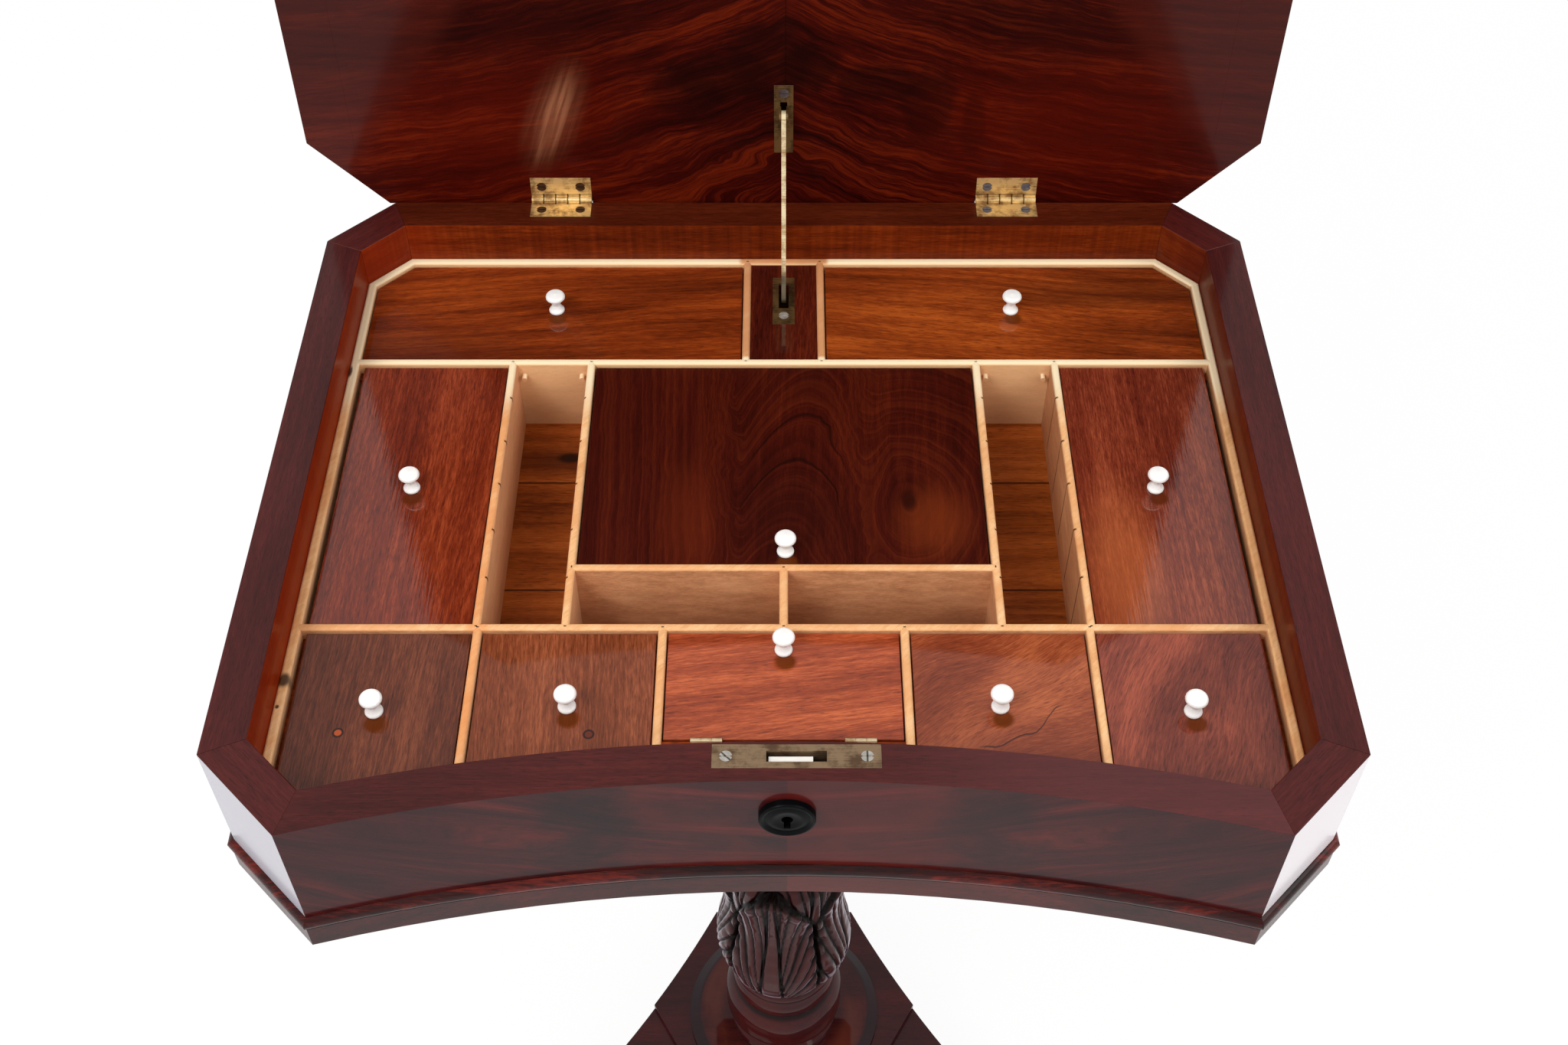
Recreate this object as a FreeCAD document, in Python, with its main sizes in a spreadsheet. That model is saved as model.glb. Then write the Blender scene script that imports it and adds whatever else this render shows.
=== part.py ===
"""Fitted mahogany work table of teapoy form: a canted case on a carved column and triform base.

Millimetres, +Z up, front towards -Y. The origin is on the floor under the middle of the whole
object with its lid open.
The main lid is drawn shut and then swung up about its hinges, as it stands at rest.
"""
import FreeCAD, Part
import math
import os
import re

doc = FreeCAD.newDocument("WorkTable")
sheet = doc.addObject("Spreadsheet::Sheet", "Sizes")

# Driving dimensions; a value in words follows from the ones above it
SIZES = [
    ("case_width", 580, "outside width of the case"),
    ("case_depth", 472, "back face to the line of the front corners"),
    ("column_y", -14, "origin to the column's axis"),
    ("back_y", "case_depth / 2 - 8 + column_y", "origin to the back face"),
    ("rim_z", 770, "height of the rim"),
    ("body_height", 80, "rim to the underside of the rails"),
    ("rear_cant", 38, "leg of the 45 degree cut at the rear corners"),
    ("front_cant", 46, "leg of the 45 degree cut at the front corners"),
    ("front_hollow", 31, "how far the front curves in"),
    ("rail_thick", 23, "thickness of the case walls"),
    ("bottom_thick", 12, "case bottom board"),
    ("bead_height", 8, "bead of the base moulding"),
    ("bead_out", 4, "how far the bead stands out"),
    ("bead_quirk", 0.8, "groove between the bead and the band"),
    ("bead_facets", 6, "flats that make the bead's round nose"),
    ("front_sweep_angle", 25, "degrees each way that the front moulding is swept before its mitres"),
    ("band_height", 16, "plain band below the bead"),
    ("band_out", 2.5, "how far the band stands out"),
    ("moulding_tuck", 18, "moulding running in under the bottom board"),
    ("liner_thick", 5.6, "maple lining"),
    ("liner_drop", 27, "rim down to the lining and partition tops"),
    ("partition_thick", 4.8, "maple partitions"),
    ("rear_row", "case_depth * 0.2532", "back face to the rear divider"),
    ("mid_row", "case_depth * 0.6006", "back face to the divider behind the small open pair"),
    ("front_row", "case_depth * 0.6896", "back face to the front divider"),
    ("well_outer", "case_width * 0.2876", "centre line to the outer side of a well"),
    ("well_inner", "case_width * 0.2043", "centre line to the inner side of a well"),
    ("stay_bay", 23.4, "centre line to the partitions beside the stay block"),
    ("front_outer", "case_width * 0.2859", "centre line to the outer front partitions"),
    ("front_inner", "case_width * 0.1129", "centre line to the inner front partitions"),
    ("notch_wide", 1.2, "saw cuts for loose dividers in the right well"),
    ("notch_deep", 1.4, "depth of those cuts"),
    ("flat_thick", 5.5, "compartment lids"),
    ("flat_drop", 2.5, "partition tops down to the lids"),
    ("flat_play", 0.8, "gap round a compartment lid"),
    ("side_play", 3.2, "wider gap at the outer ends of the side lids"),
    ("lift_clear", 0.2, "lid to what it rests on"),
    ("bearer", 4, "height of the strips that carry the lids"),
    ("bearer_wide", 6, "width of those strips"),
    ("peg_radius", 1.6, "pegs near the well tops"),
    ("peg_out", 4, "how far a peg stands out"),
    ("peg_drop", 10, "partition top down to a peg"),
    ("knob_radius", 6, "bone knob"),
    ("knob_height", 14.5, "bone knob above its lid"),
    ("knob_waist", 2.7, "waist of the knob"),
    ("knob_foot", 4.5, "foot of the knob"),
    ("knob_pin", 1.6, "pin of the knob in its lid"),
    ("knob_rear_x", "case_width * 0.2483", "centre line to the rear knobs"),
    ("knob_rear_row", "case_depth * 0.1504", "back face to the rear knobs"),
    ("knob_side_x", "case_width * 0.3716", "centre line to the side knobs"),
    ("knob_side_row", "case_depth * 0.4725", "back face to the side knobs"),
    ("knob_centre_x", 1, "centre line to the centre knob"),
    ("knob_centre_row", "case_depth * 0.5742", "back face to the centre knob"),
    ("knob_front_x", "case_width * 0.369", "centre line to the outer front knobs"),
    ("knob_front_row", "case_depth * 0.8051", "back face to the outer front knobs"),
    ("knob_inner_x", "case_width * 0.1957", "centre line to the inner front knobs"),
    ("knob_inner_row", "case_depth * 0.7987", "back face to the inner front knobs"),
    ("knob_flap_row", "case_depth * 0.7203", "back face to the flap's knob"),
    ("block_drop", 1.5, "stay block below the partition tops"),
    ("block_thick", 9, "stay block"),
    ("lid_over", 12, "main lid past the case at the sides and front"),
    ("lid_over_cant", 7, "main lid past the canted rear corners"),
    ("lid_thick", 18, "main lid"),
    ("lid_gap", 0.6, "main lid above the rim when shut"),
    ("lid_open_angle", 93.4, "main lid opening in degrees"),
    ("clamp_wide", 30, "cross-grained ends of the main lid"),
    ("hinge_x", "case_width * 0.2483", "centre line to a main hinge"),
    ("hinge_wide", 39, "main hinge along the case"),
    ("leaf_reach", 14, "leaf of a main hinge across the rim"),
    ("leaf_thick", 2, "leaf of a main hinge"),
    ("knuckle_radius", 2.5, "knuckle of a main hinge"),
    ("knuckle_gap", 0.2, "end play between knuckles, and knuckle to the case"),
    ("lid_over_back", "knuckle_radius + knuckle_gap + 3", "main lid past the back, over the knuckles"),
    ("pin_radius", 1.2, "pin of a main hinge"),
    ("running_fit", 0.05, "radial clearance round a pin"),
    ("screw_head", 3.2, "radius of the brass screw heads"),
    ("screw_sink", 1.5, "depth of the countersunk heads"),
    ("screw_shank", 1.5, "radius of the screw shanks"),
    ("screw_length", 12, "length of the screws"),
    ("slot_wide", 0.9, "slot of a screw head"),
    ("slot_deep", 0.6, "slot of a screw head"),
    ("flap_hinge_x", "front_inner * 0.6109", "centre line to a small hinge"),
    ("flap_hinge_wide", 16.5, "small hinge"),
    ("flap_axis", "case_depth - 74", "back face to the small hinges' axis"),
    ("flap_gap", 1.4, "joint that holds the small leaves"),
    ("flap_leaf", 0.5, "leaf of a small hinge"),
    ("flap_knuckle", 1.4, "knuckle radius of a small hinge"),
    ("flap_pin", 0.6, "pin radius of a small hinge"),
    ("flap_leaf_deep", 4.2, "small leaf below its axis"),
    ("lock_long", 84, "lock plate"),
    ("lock_wide", 14, "lock plate"),
    ("staple_gap", 1.2, "bolt to the staple when unlocked"),
    ("staple_wall", 1, "staple"),
    ("lock_inset", 1.8, "inner edge of the rim to the lock plate"),
    ("lock_plate_thick", 2.2, "lock plate"),
    ("lock_slot_long", 30, "opening in the lock plate"),
    ("lock_slot_wide", 6.4, "opening in the lock plate"),
    ("lock_case_long", 62, "lock case in the front rail"),
    ("lock_case_wide", 11, "lock case in the front rail"),
    ("lock_case_deep", 42, "lock case in the front rail"),
    ("lock_wall", 1.6, "lock case walls"),
    ("bolt_long", 22, "sliding bolt"),
    ("bolt_wide", 3, "sliding bolt"),
    ("bolt_high", 5, "sliding bolt"),
    ("bolt_sink", 0.6, "plate down to the bolt"),
    ("bolt_travel", 6, "throw of the bolt"),
    ("lock_x", 6.4, "centre line to the middle of the lock"),
    ("key_x", 1.8, "centre line to the keyhole"),
    ("key_z", 31.5, "rim down to the keyhole"),
    ("scutcheon_radius", 14.5, "turned escutcheon"),
    ("scutcheon_out", 4.2, "escutcheon in front of the case"),
    ("scutcheon_lip", 1.6, "width of its rounded lip"),
    ("scutcheon_dish", 1.2, "hollow of its face inside the lip"),
    ("scutcheon_spigot", 9, "radius of its spigot in the rail"),
    ("spigot_deep", 6, "length of that spigot"),
    ("key_radius", 3, "round part of the keyhole"),
    ("key_slot", 3.4, "width of the keyhole's slot"),
    ("key_long", 7, "keyhole centre down to the slot's end"),
    ("plate_wide", 14, "stay plate on the block"),
    ("plate_back", 40.7, "back face to the stay plate"),
    ("plate_front", 84.6, "back face to the stay plate's front end"),
    ("plate_thick", 1.8, "both stay plates"),
    ("plate_slot_wide", 6.4, "slot of the lower stay plate"),
    ("plate_slot_back", 46, "back face to the slot"),
    ("plate_slot_front", 69.8, "back face to the slot's front end"),
    ("plate_screw", 76.5, "back face to the lower plate's screw"),
    ("lid_plate_wide", 12, "stay plate on the lid"),
    ("lid_plate_low", 36, "hinge axis to the lid's stay plate"),
    ("lid_plate_high", 85, "hinge axis to the far end of that plate"),
    ("lid_plate_screw", 79, "hinge axis to that plate's screw"),
    ("lid_slot_low", 60, "hinge axis to the slot of that plate"),
    ("lid_slot_high", 73, "hinge axis to the end of that slot"),
    ("lid_slot_wide", 4.4, "slot of that plate"),
    ("pivot_up", 66, "hinge axis to the stay's pivot, along the lid"),
    ("pivot_out", 5.6, "lid to the stay's pivot"),
    ("lug_thick", 1.2, "lugs that hold the stay's pivot"),
    ("lug_radius", 3.4, "lugs that hold the stay's pivot"),
    ("pivot_radius", 1.5, "stay's pivot pin"),
    ("strap_thick", 2.8, "stay strap"),
    ("strap_wide", 6.4, "stay strap"),
    ("strap_eye", 4, "eye of the stay strap"),
    ("strap_foot", 61, "back face to the foot of the strap"),
    ("strap_dip", 2.2, "foot of the strap in its slot"),
    ("foot_inset", 30, "end of an arm to the centre of its bun foot"),
    ("foot_height", 37, "bun feet"),
    ("foot_radius", 29, "bun feet"),
    ("foot_neck", 20, "bun feet at the top"),
    ("base_thick", 32, "lower tier of the base"),
    ("base_side", 97.5, "column axis to the middle of a hollow side"),
    ("base_hollow_radius", 900, "radius of a hollow side"),
    ("base_reach", 185, "column axis to the end of an arm"),
    ("tier_thick", 7, "upper tier of the base"),
    ("tier_reach", 94, "column axis to the end of the upper tier"),
    ("disc_radius", 80, "turned disc"),
    ("disc_thick", 8, "turned disc"),
    ("disc_bevel", 10, "bevel of the disc"),
    ("tenon_radius", 14, "tenons of the column"),
    ("tenon_long", 28, "tenon into the base"),
    ("ring_radius", 47.5, "large turned ring above the disc"),
    ("ring_height", 62, "large turned ring"),
    ("reel_radius", 41.5, "second ring"),
    ("reel_height", 24, "second ring"),
    ("neck_bead_radius", 42, "bead under the carving"),
    ("neck_bead_height", 12, "bead under the carving"),
    ("bulb_height", 180, "carved bulb"),
    ("bulb_foot", 41, "radius of the bulb where it springs"),
    ("bulb_radius", 53.6, "widest part of the bulb"),
    ("bulb_waist", 46, "radius of the bulb above its widest part"),
    ("bulb_crown", 50, "radius of the bulb where the leaves turn out"),
    ("bulb_neck", 30, "radius of the bulb at its top"),
    ("shaft_foot", 33, "radius of the upper column at its base"),
    ("shaft_top", 26, "radius of the upper column at its top"),
    ("shaft_collar", 12, "height of the collars"),
    ("cap_radius", 52, "turned cap"),
    ("cap_height", 16, "turned cap"),
    ("block_wide", 250, "support block under the case"),
    ("block_high", 20, "support block under the case"),
    ("overrun", 1, "cutters past the faces they cut"),
]

ALIASES = set()
row = 1
for alias, number, note in SIZES:
    sheet.set("A%d" % row, note)
    sheet.set("B%d" % row, "=%s" % number)
    sheet.setAlias("B%d" % row, alias)
    ALIASES.add(alias)
    row += 1
doc.recompute()


def size(alias):
    """A value of the sheet as a number."""
    return float(sheet.get(alias))


def linked(text):
    """An expression in which each named size points at its cell."""
    def swap(match):
        word = match.group(0)
        if word in ALIASES:
            return "Sizes." + word
        return word
    return re.sub(r"[a-z_]+", swap, text)


def place(piece, x="0", y="0", z="0"):
    """Bind a piece's position to the sheet."""
    piece.setExpression("Placement.Base.x", linked(x) + " * 1mm")
    piece.setExpression("Placement.Base.y", linked(y) + " * 1mm")
    piece.setExpression("Placement.Base.z", linked(z) + " * 1mm")
    return piece


def box(name, x, y, z):
    """A block between two expressions along each axis."""
    block = doc.addObject("Part::Box", name)
    block.setExpression("Length", linked("((%s) - (%s)) * 1mm" % (x[1], x[0])))
    block.setExpression("Width", linked("((%s) - (%s)) * 1mm" % (y[1], y[0])))
    block.setExpression("Height", linked("((%s) - (%s)) * 1mm" % (z[1], z[0])))
    return place(block, "(%s)" % x[0], "(%s)" % y[0], "(%s)" % z[0])


def rod(name, radius, length, x="0", y="0", z="0", along="Z"):
    """A cylinder that starts at a point and runs along +X, +Y, -Y, +Z or -Z."""
    bar = doc.addObject("Part::Cylinder", name)
    bar.setExpression("Radius", linked("(%s) * 1mm" % radius))
    bar.setExpression("Height", linked("(%s) * 1mm" % length))
    turns = {"X": (FreeCAD.Vector(0, 1, 0), 90), "Y": (FreeCAD.Vector(1, 0, 0), -90),
             "-Y": (FreeCAD.Vector(1, 0, 0), 90), "-Z": (FreeCAD.Vector(1, 0, 0), 180),
             "Z": (FreeCAD.Vector(0, 0, 1), 0)}
    axis, angle = turns[along]
    bar.Placement = FreeCAD.Placement(FreeCAD.Vector(), FreeCAD.Rotation(axis, angle))
    return place(bar, "(%s)" % x, "(%s)" % y, "(%s)" % z)


def cone(name, foot, top, height, x, y, z, along="Z"):
    """A cone for a countersunk head, its wide end outwards."""
    taper = doc.addObject("Part::Cone", name)
    taper.setExpression("Radius1", linked("(%s) * 1mm" % foot))
    taper.setExpression("Radius2", linked("(%s) * 1mm" % top))
    taper.setExpression("Height", linked("(%s) * 1mm" % height))
    if along == "-Z":
        over = FreeCAD.Rotation(FreeCAD.Vector(1, 0, 0), 180)
        taper.Placement = FreeCAD.Placement(FreeCAD.Vector(), over)
    return place(taper, "(%s)" % x, "(%s)" % y, "(%s)" % z)


def cut(name, base, tools):
    """A piece less one or more others."""
    tool = tools[0]
    if len(tools) > 1:
        tool = fuse(name + "Cutters", tools)
    result = doc.addObject("Part::Cut", name)
    result.Base = base
    result.Tool = tool
    return result


def fuse(name, pieces):
    """Several shapes as one solid."""
    result = doc.addObject("Part::MultiFuse", name)
    result.Shapes = pieces
    return result


def common(name, first, second):
    """What two shapes share."""
    result = doc.addObject("Part::Common", name)
    result.Base = first
    result.Tool = second
    return result


def group(name, pieces):
    """Separate solids kept together in one node."""
    result = doc.addObject("Part::Compound", name)
    result.Links = pieces
    return result


def feature(name, shape):
    """A piece whose shape comes from its own function."""
    result = doc.addObject("Part::Feature", name)
    result.Shape = shape
    return result


NODES = []


def node(piece, label):
    """Name a finished sub-part."""
    piece.Label = label
    NODES.append(piece)
    return piece


# Outline of the case, and anything parallel to it
def outline(inset, back_inset=None, cant_inset=None):
    """Corners of the right half, back to front, with the arc's middle, a given way in from the case."""
    if back_inset is None:
        back_inset = inset
    if cant_inset is None:
        cant_inset = inset
    half = size("case_width") / 2
    back = size("back_y")
    front = back - size("case_depth")
    slant = inset * math.sqrt(2)
    rear_line = half + back - size("rear_cant") - cant_inset * math.sqrt(2)
    front_line = half - front - size("front_cant") - slant
    chord = half - size("front_cant")
    hollow = size("front_hollow")
    radius = (chord * chord + hollow * hollow) / (2 * hollow)
    centre = front + hollow - radius
    inner = radius + inset
    shift = front_line + centre
    side = half - inset
    rear = back - back_inset
    tip = (shift + math.sqrt(2 * inner * inner - shift * shift)) / 2
    return {"back": (rear_line - rear, rear), "rear_side": (side, rear_line - side),
            "front_side": (side, side - front_line), "front": (tip, tip - front_line),
            "middle": (0, centre + inner), "centre": (0, centre)}


def prism(inset, low, high, back_inset=None, cant_inset=None):
    """The whole plan as a solid between two heights."""
    plan = outline(inset, back_inset, cant_inset)
    right = [plan["back"], plan["rear_side"], plan["front_side"], plan["front"]]
    points = [FreeCAD.Vector(x, y, low) for x, y in right]
    mirror = [FreeCAD.Vector(-x, y, low) for x, y in reversed(right)]
    middle = FreeCAD.Vector(plan["middle"][0], plan["middle"][1], low)
    edges = [Part.makeLine(a, b) for a, b in zip(points, points[1:])]
    edges.append(Part.Arc(points[-1], middle, mirror[0]).toShape())
    edges += [Part.makeLine(a, b) for a, b in zip(mirror, mirror[1:])]
    edges.append(Part.makeLine(mirror[-1], points[0]))
    face = Part.Face(Part.Wire(edges))
    return face.extrude(FreeCAD.Vector(0, 0, high - low))


def strip(side, outer, inner, low, high):
    """One mitred length of a frame that follows the plan: back, rear, side, cant or front."""
    wide = outline(outer)
    narrow = outline(inner)
    corners = {"back": ("back", None), "rear": ("back", "rear_side"),
               "side": ("rear_side", "front_side"), "cant": ("front_side", "front")}
    up = FreeCAD.Vector(0, 0, high - low)

    def at(point, sign=1):
        return FreeCAD.Vector(sign * point[0], point[1], low)

    if side == "front":
        edges = [Part.Arc(at(wide["front"], -1), at(wide["middle"]), at(wide["front"])).toShape(),
                 Part.makeLine(at(wide["front"]), at(narrow["front"])),
                 Part.Arc(at(narrow["front"]), at(narrow["middle"]), at(narrow["front"], -1)).toShape(),
                 Part.makeLine(at(narrow["front"], -1), at(wide["front"], -1))]
        return Part.Face(Part.Wire(edges)).extrude(up)
    if side == "back":
        points = [at(wide["back"], -1), at(wide["back"]), at(narrow["back"]), at(narrow["back"], -1)]
    else:
        start, end = corners[side]
        points = [at(wide[start]), at(wide[end]), at(narrow[end]), at(narrow[start])]
    return Part.Face(Part.makePolygon(points + [points[0]])).extrude(up)


def mirrored(shape):
    """The same shape on the other side of the centre line."""
    return shape.mirror(FreeCAD.Vector(), FreeCAD.Vector(1, 0, 0))


def turned(points, x=0, y=0):
    """A solid of revolution about a vertical axis; each point is a radius and a height.

    A third value in a point makes the stretch up to it an arc that swells by that much.
    """
    edges = []
    last = FreeCAD.Vector(points[0][0], 0, points[0][1])
    start = last
    for point in points[1:]:
        here = FreeCAD.Vector(point[0], 0, point[1])
        swell = point[2] if len(point) > 2 else 0
        if swell:
            along = here - last
            outward = FreeCAD.Vector(along.z, 0, -along.x).normalize()
            middle = (last + here) * 0.5 + outward * swell
            edges.append(Part.Arc(last, middle, here).toShape())
        else:
            edges.append(Part.makeLine(last, here))
        last = here
    edges.append(Part.makeLine(last, start))
    face = Part.Face(Part.Wire(edges))
    solid = face.revolve(FreeCAD.Vector(), FreeCAD.Vector(0, 0, 1), 360)
    solid.translate(FreeCAD.Vector(x, y, 0))
    return solid


# Heights that several pieces share
RIM = size("rim_z")
BODY_FOOT = RIM - size("body_height")
LINER_TOP = RIM - size("liner_drop")
FLAT_TOP = LINER_TOP - size("flat_drop")
FLAT_FOOT = FLAT_TOP - size("flat_thick")
BOARD_FOOT = BODY_FOOT - size("bottom_thick")
LINER_IN = size("rail_thick") + size("liner_thick")
liner_top = "(rim_z - liner_drop)"
flat_top = "(rim_z - liner_drop - flat_drop)"
flat_foot = "(rim_z - liner_drop - flat_drop - flat_thick)"
body_foot = "(rim_z - body_height)"
half_part = "partition_thick / 2"


def screw(name, x, y, z, along="-Z"):
    """A slotted countersunk screw driven down (or up into the lid), its head flush at a face."""
    head = cone(name + "Head", "screw_head", "screw_shank", "screw_sink", x, y, z, along)
    shank = rod(name + "Shank", "screw_shank", "screw_length", x, y, z, along)
    whole = fuse(name + "Whole", [head, shank])
    sign = "-" if along == "-Z" else "+"
    low, high = "(%s) - slot_deep" % z, "(%s) + overrun" % z
    if sign == "+":
        low, high = "(%s) - overrun" % z, "(%s) + slot_deep" % z
    slot = box(name + "Slot", ("(%s) - screw_head" % x, "(%s) + screw_head" % x),
               ("(%s) - slot_wide / 2" % y, "(%s) + slot_wide / 2" % y), (low, high))
    return whole, cut(name, whole, [slot])


# Screws that go down into the case
screw_share = 0.32
case_screws = []
hinge_holes = []
for side, sign in (("Left", "-"), ("Right", "")):
    for end, shift in (("A", "-"), ("B", "+")):
        where = "%shinge_x %s hinge_wide * %s" % (sign, shift, screw_share)
        hole, body = screw("CaseHingeScrew%s%s" % (side, end), where, "back_y - leaf_reach / 2", "rim_z")
        hinge_holes.append(hole)
        case_screws.append(body)
lock_y = "(back_y - case_depth + front_hollow + rail_thick - lock_inset - lock_wide / 2)"
lock_holes = []
for side, sign in (("Left", "-"), ("Right", "+")):
    screw_x = "lock_x %s (lock_long / 2 - lock_wide / 2)" % sign
    hole, body = screw("LockScrew" + side, screw_x, lock_y, "rim_z")
    lock_holes.append(hole)
    case_screws.append(body)
block_top = "(rim_z - liner_drop - block_drop)"
plate_hole, body = screw("PlateScrew", "0", "back_y - plate_screw", block_top)
case_screws.append(body)


# Main hinges: knuckles one to five along X, the odd ones on the lid
def knuckle_bounds(hinge_sign, index):
    """Start and end of one knuckle along X."""
    left = "(%shinge_x - hinge_wide / 2)" % hinge_sign
    start = "%s + hinge_wide / 5 * %d + knuckle_gap / 2" % (left, index)
    end = "%s + hinge_wide / 5 * %d - knuckle_gap / 2" % (left, index + 1)
    return start, end


axis_y = "(back_y + knuckle_radius + knuckle_gap)"
axis_z = "(rim_z + lid_gap / 2)"


def hinge_half(name, hinge_sign, indices, low, high, bore):
    """One leaf with its knuckles, bored for the pin."""
    left = "(%shinge_x - hinge_wide / 2)" % hinge_sign
    right = "(%shinge_x + hinge_wide / 2)" % hinge_sign
    parts = [box(name + "Leaf", (left, right), ("back_y - leaf_reach", "back_y"), (low, high))]
    for index in indices:
        start, end = knuckle_bounds(hinge_sign, index)
        parts.append(box("%sTab%d" % (name, index), (start, end), ("back_y", axis_y), (low, high)))
        parts.append(rod("%sKnuckle%d" % (name, index), "knuckle_radius",
                         "hinge_wide / 5 - knuckle_gap", start, axis_y, axis_z, "X"))
    bore_rod = rod(name + "Bore", bore, "hinge_wide + 2 * overrun", "%s - overrun" % left,
                   axis_y, axis_z, "X")
    return cut(name, fuse(name + "Solid", parts), [bore_rod])


case_leaves = []
hinge_seats = []
for side, sign in (("Left", "-"), ("Right", "")):
    half = hinge_half("CaseHinge" + side, sign, (1, 3), "rim_z - leaf_thick", "rim_z", "pin_radius")
    holes = [h for h in hinge_holes if side in h.Name]
    case_leaves.append(cut("CaseLeaf" + side, half, holes))
    hinge_seats.append(box("HingeSeat" + side,
                           ("%shinge_x - hinge_wide / 2" % sign, "%shinge_x + hinge_wide / 2" % sign),
                           ("back_y - leaf_reach", "back_y + overrun"),
                           ("rim_z - leaf_thick", "rim_z + overrun")))
    case_leaves.append(rod("HingePin" + side, "pin_radius", "hinge_wide",
                           "%shinge_x - hinge_wide / 2" % sign, axis_y, axis_z, "X"))
node(group("CaseHinges", case_leaves), "case_hinge_leaves")

# Lock in the front rail
plate_x = ("lock_x - lock_long / 2", "lock_x + lock_long / 2")
plate_y = ("%s - lock_wide / 2" % lock_y, "%s + lock_wide / 2" % lock_y)
plate_z = ("rim_z - lock_plate_thick", "rim_z")
lock_seat = box("LockSeat", plate_x, plate_y, ("rim_z - lock_plate_thick", "rim_z + overrun"))
case_x = ("lock_x - lock_case_long / 2", "lock_x + lock_case_long / 2")
case_y = ("%s - lock_case_wide / 2" % lock_y, "%s + lock_case_wide / 2" % lock_y)
lock_case_z = ("rim_z - lock_plate_thick - lock_case_deep", "rim_z - lock_plate_thick")
lock_mortise = box("LockMortise", case_x, case_y, lock_case_z)
slot_x = ("lock_x - lock_slot_long / 2", "lock_x + lock_slot_long / 2")
slot_y = ("%s - lock_slot_wide / 2" % lock_y, "%s + lock_slot_wide / 2" % lock_y)
plate_slot = box("LockSlot", slot_x, slot_y, ("rim_z - lock_plate_thick - overrun", "rim_z + overrun"))
plate_blank = box("LockPlateBlank", plate_x, plate_y, plate_z)
node(cut("LockPlate", plate_blank, [plate_slot] + lock_holes), "lock_plate")
lock_box = box("LockBox", case_x, case_y, lock_case_z)
hollow_x = ("%s + lock_wall" % case_x[0], "%s - lock_wall" % case_x[1])
hollow_y = ("%s + lock_wall" % case_y[0], "%s - lock_wall" % case_y[1])
bolt_top = "(rim_z - lock_plate_thick - bolt_sink)"
bolt_end = "(%s + 2 * bolt_sink + bolt_long)" % slot_x[0]
lock_hollow = box("LockHollow", hollow_x, hollow_y,
                  ("%s + lock_wall" % lock_case_z[0], "%s + overrun" % lock_case_z[1]))
key_z_at = "(rim_z - key_z)"
front_y = "(back_y - case_depth + front_hollow)"


def keyhole(name, start, length):
    """Keyhole cutter running back from a given depth."""
    eye = rod(name + "Eye", "key_radius", length, "key_x", start, key_z_at, "Y")
    slit = box(name + "Slit", ("key_x - key_slot / 2", "key_x + key_slot / 2"),
               (start, "(%s) + (%s)" % (start, length)), ("%s - key_long" % key_z_at, key_z_at))
    return fuse(name, [eye, slit])


key_to_lock = keyhole("KeyToLock", "%s - scutcheon_out - overrun" % front_y,
                      "scutcheon_out + rail_thick - lock_inset")
lock_shell = cut("LockShell", lock_box, [lock_hollow, key_to_lock])
bolt_foot = "(%s - bolt_high - lift_clear)" % bolt_top
bolt_rail_z = ("%s - lock_wall" % bolt_foot, bolt_foot)
bolt_rail = box("BoltRail", (hollow_x[0], bolt_end), hollow_y, bolt_rail_z)
node(fuse("LockCase", [lock_shell, bolt_rail]), "lock_case")
bolt_x = ("%s + 2 * bolt_sink" % slot_x[0], bolt_end)
bolt_y = ("%s - bolt_wide / 2" % lock_y, "%s + bolt_wide / 2" % lock_y)
node(box("LockBolt", bolt_x, bolt_y, ("%s - bolt_high" % bolt_top, bolt_top)), "lock_bolt")

# Case walls
spigot_seat = rod("SpigotSeat", "scutcheon_spigot", "spigot_deep + front_hollow",
                  "key_x", "%s - front_hollow" % front_y, key_z_at, "Y")
front_blank = feature("FrontRailBlank", strip("front", 0, size("rail_thick"), BODY_FOOT, RIM))
front_cutters = [lock_seat, lock_mortise, key_to_lock, spigot_seat] + lock_holes
node(cut("FrontRail", front_blank, front_cutters), "front_rail")
back_blank = feature("BackRailBlank", strip("back", 0, size("rail_thick"), BODY_FOOT, RIM))
node(cut("BackRail", back_blank, hinge_seats + hinge_holes), "back_rail")


def pair(side, outer, inner, low, high):
    """A mitred length on the right and its twin on the left."""
    right = strip(side, outer, inner, low, high)
    return [right, mirrored(right)]


rail = size("rail_thick")
node(feature("SideRails", Part.makeCompound(pair("side", 0, rail, BODY_FOOT, RIM))), "side_rails")
corner_shapes = pair("rear", 0, rail, BODY_FOOT, RIM) + pair("cant", 0, rail, BODY_FOOT, RIM)
node(feature("CantedCorners", Part.makeCompound(corner_shapes)), "canted_corners")
node(feature("CaseBottom", prism(0, BOARD_FOOT, BODY_FOOT)), "case_bottom")


def frame(outer, inner, low, high):
    """Eight mitred lengths round the whole plan."""
    lengths = [strip("front", outer, inner, low, high), strip("back", outer, inner, low, high)]
    for side in ("rear", "side", "cant"):
        lengths += pair(side, outer, inner, low, high)
    return lengths


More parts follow.
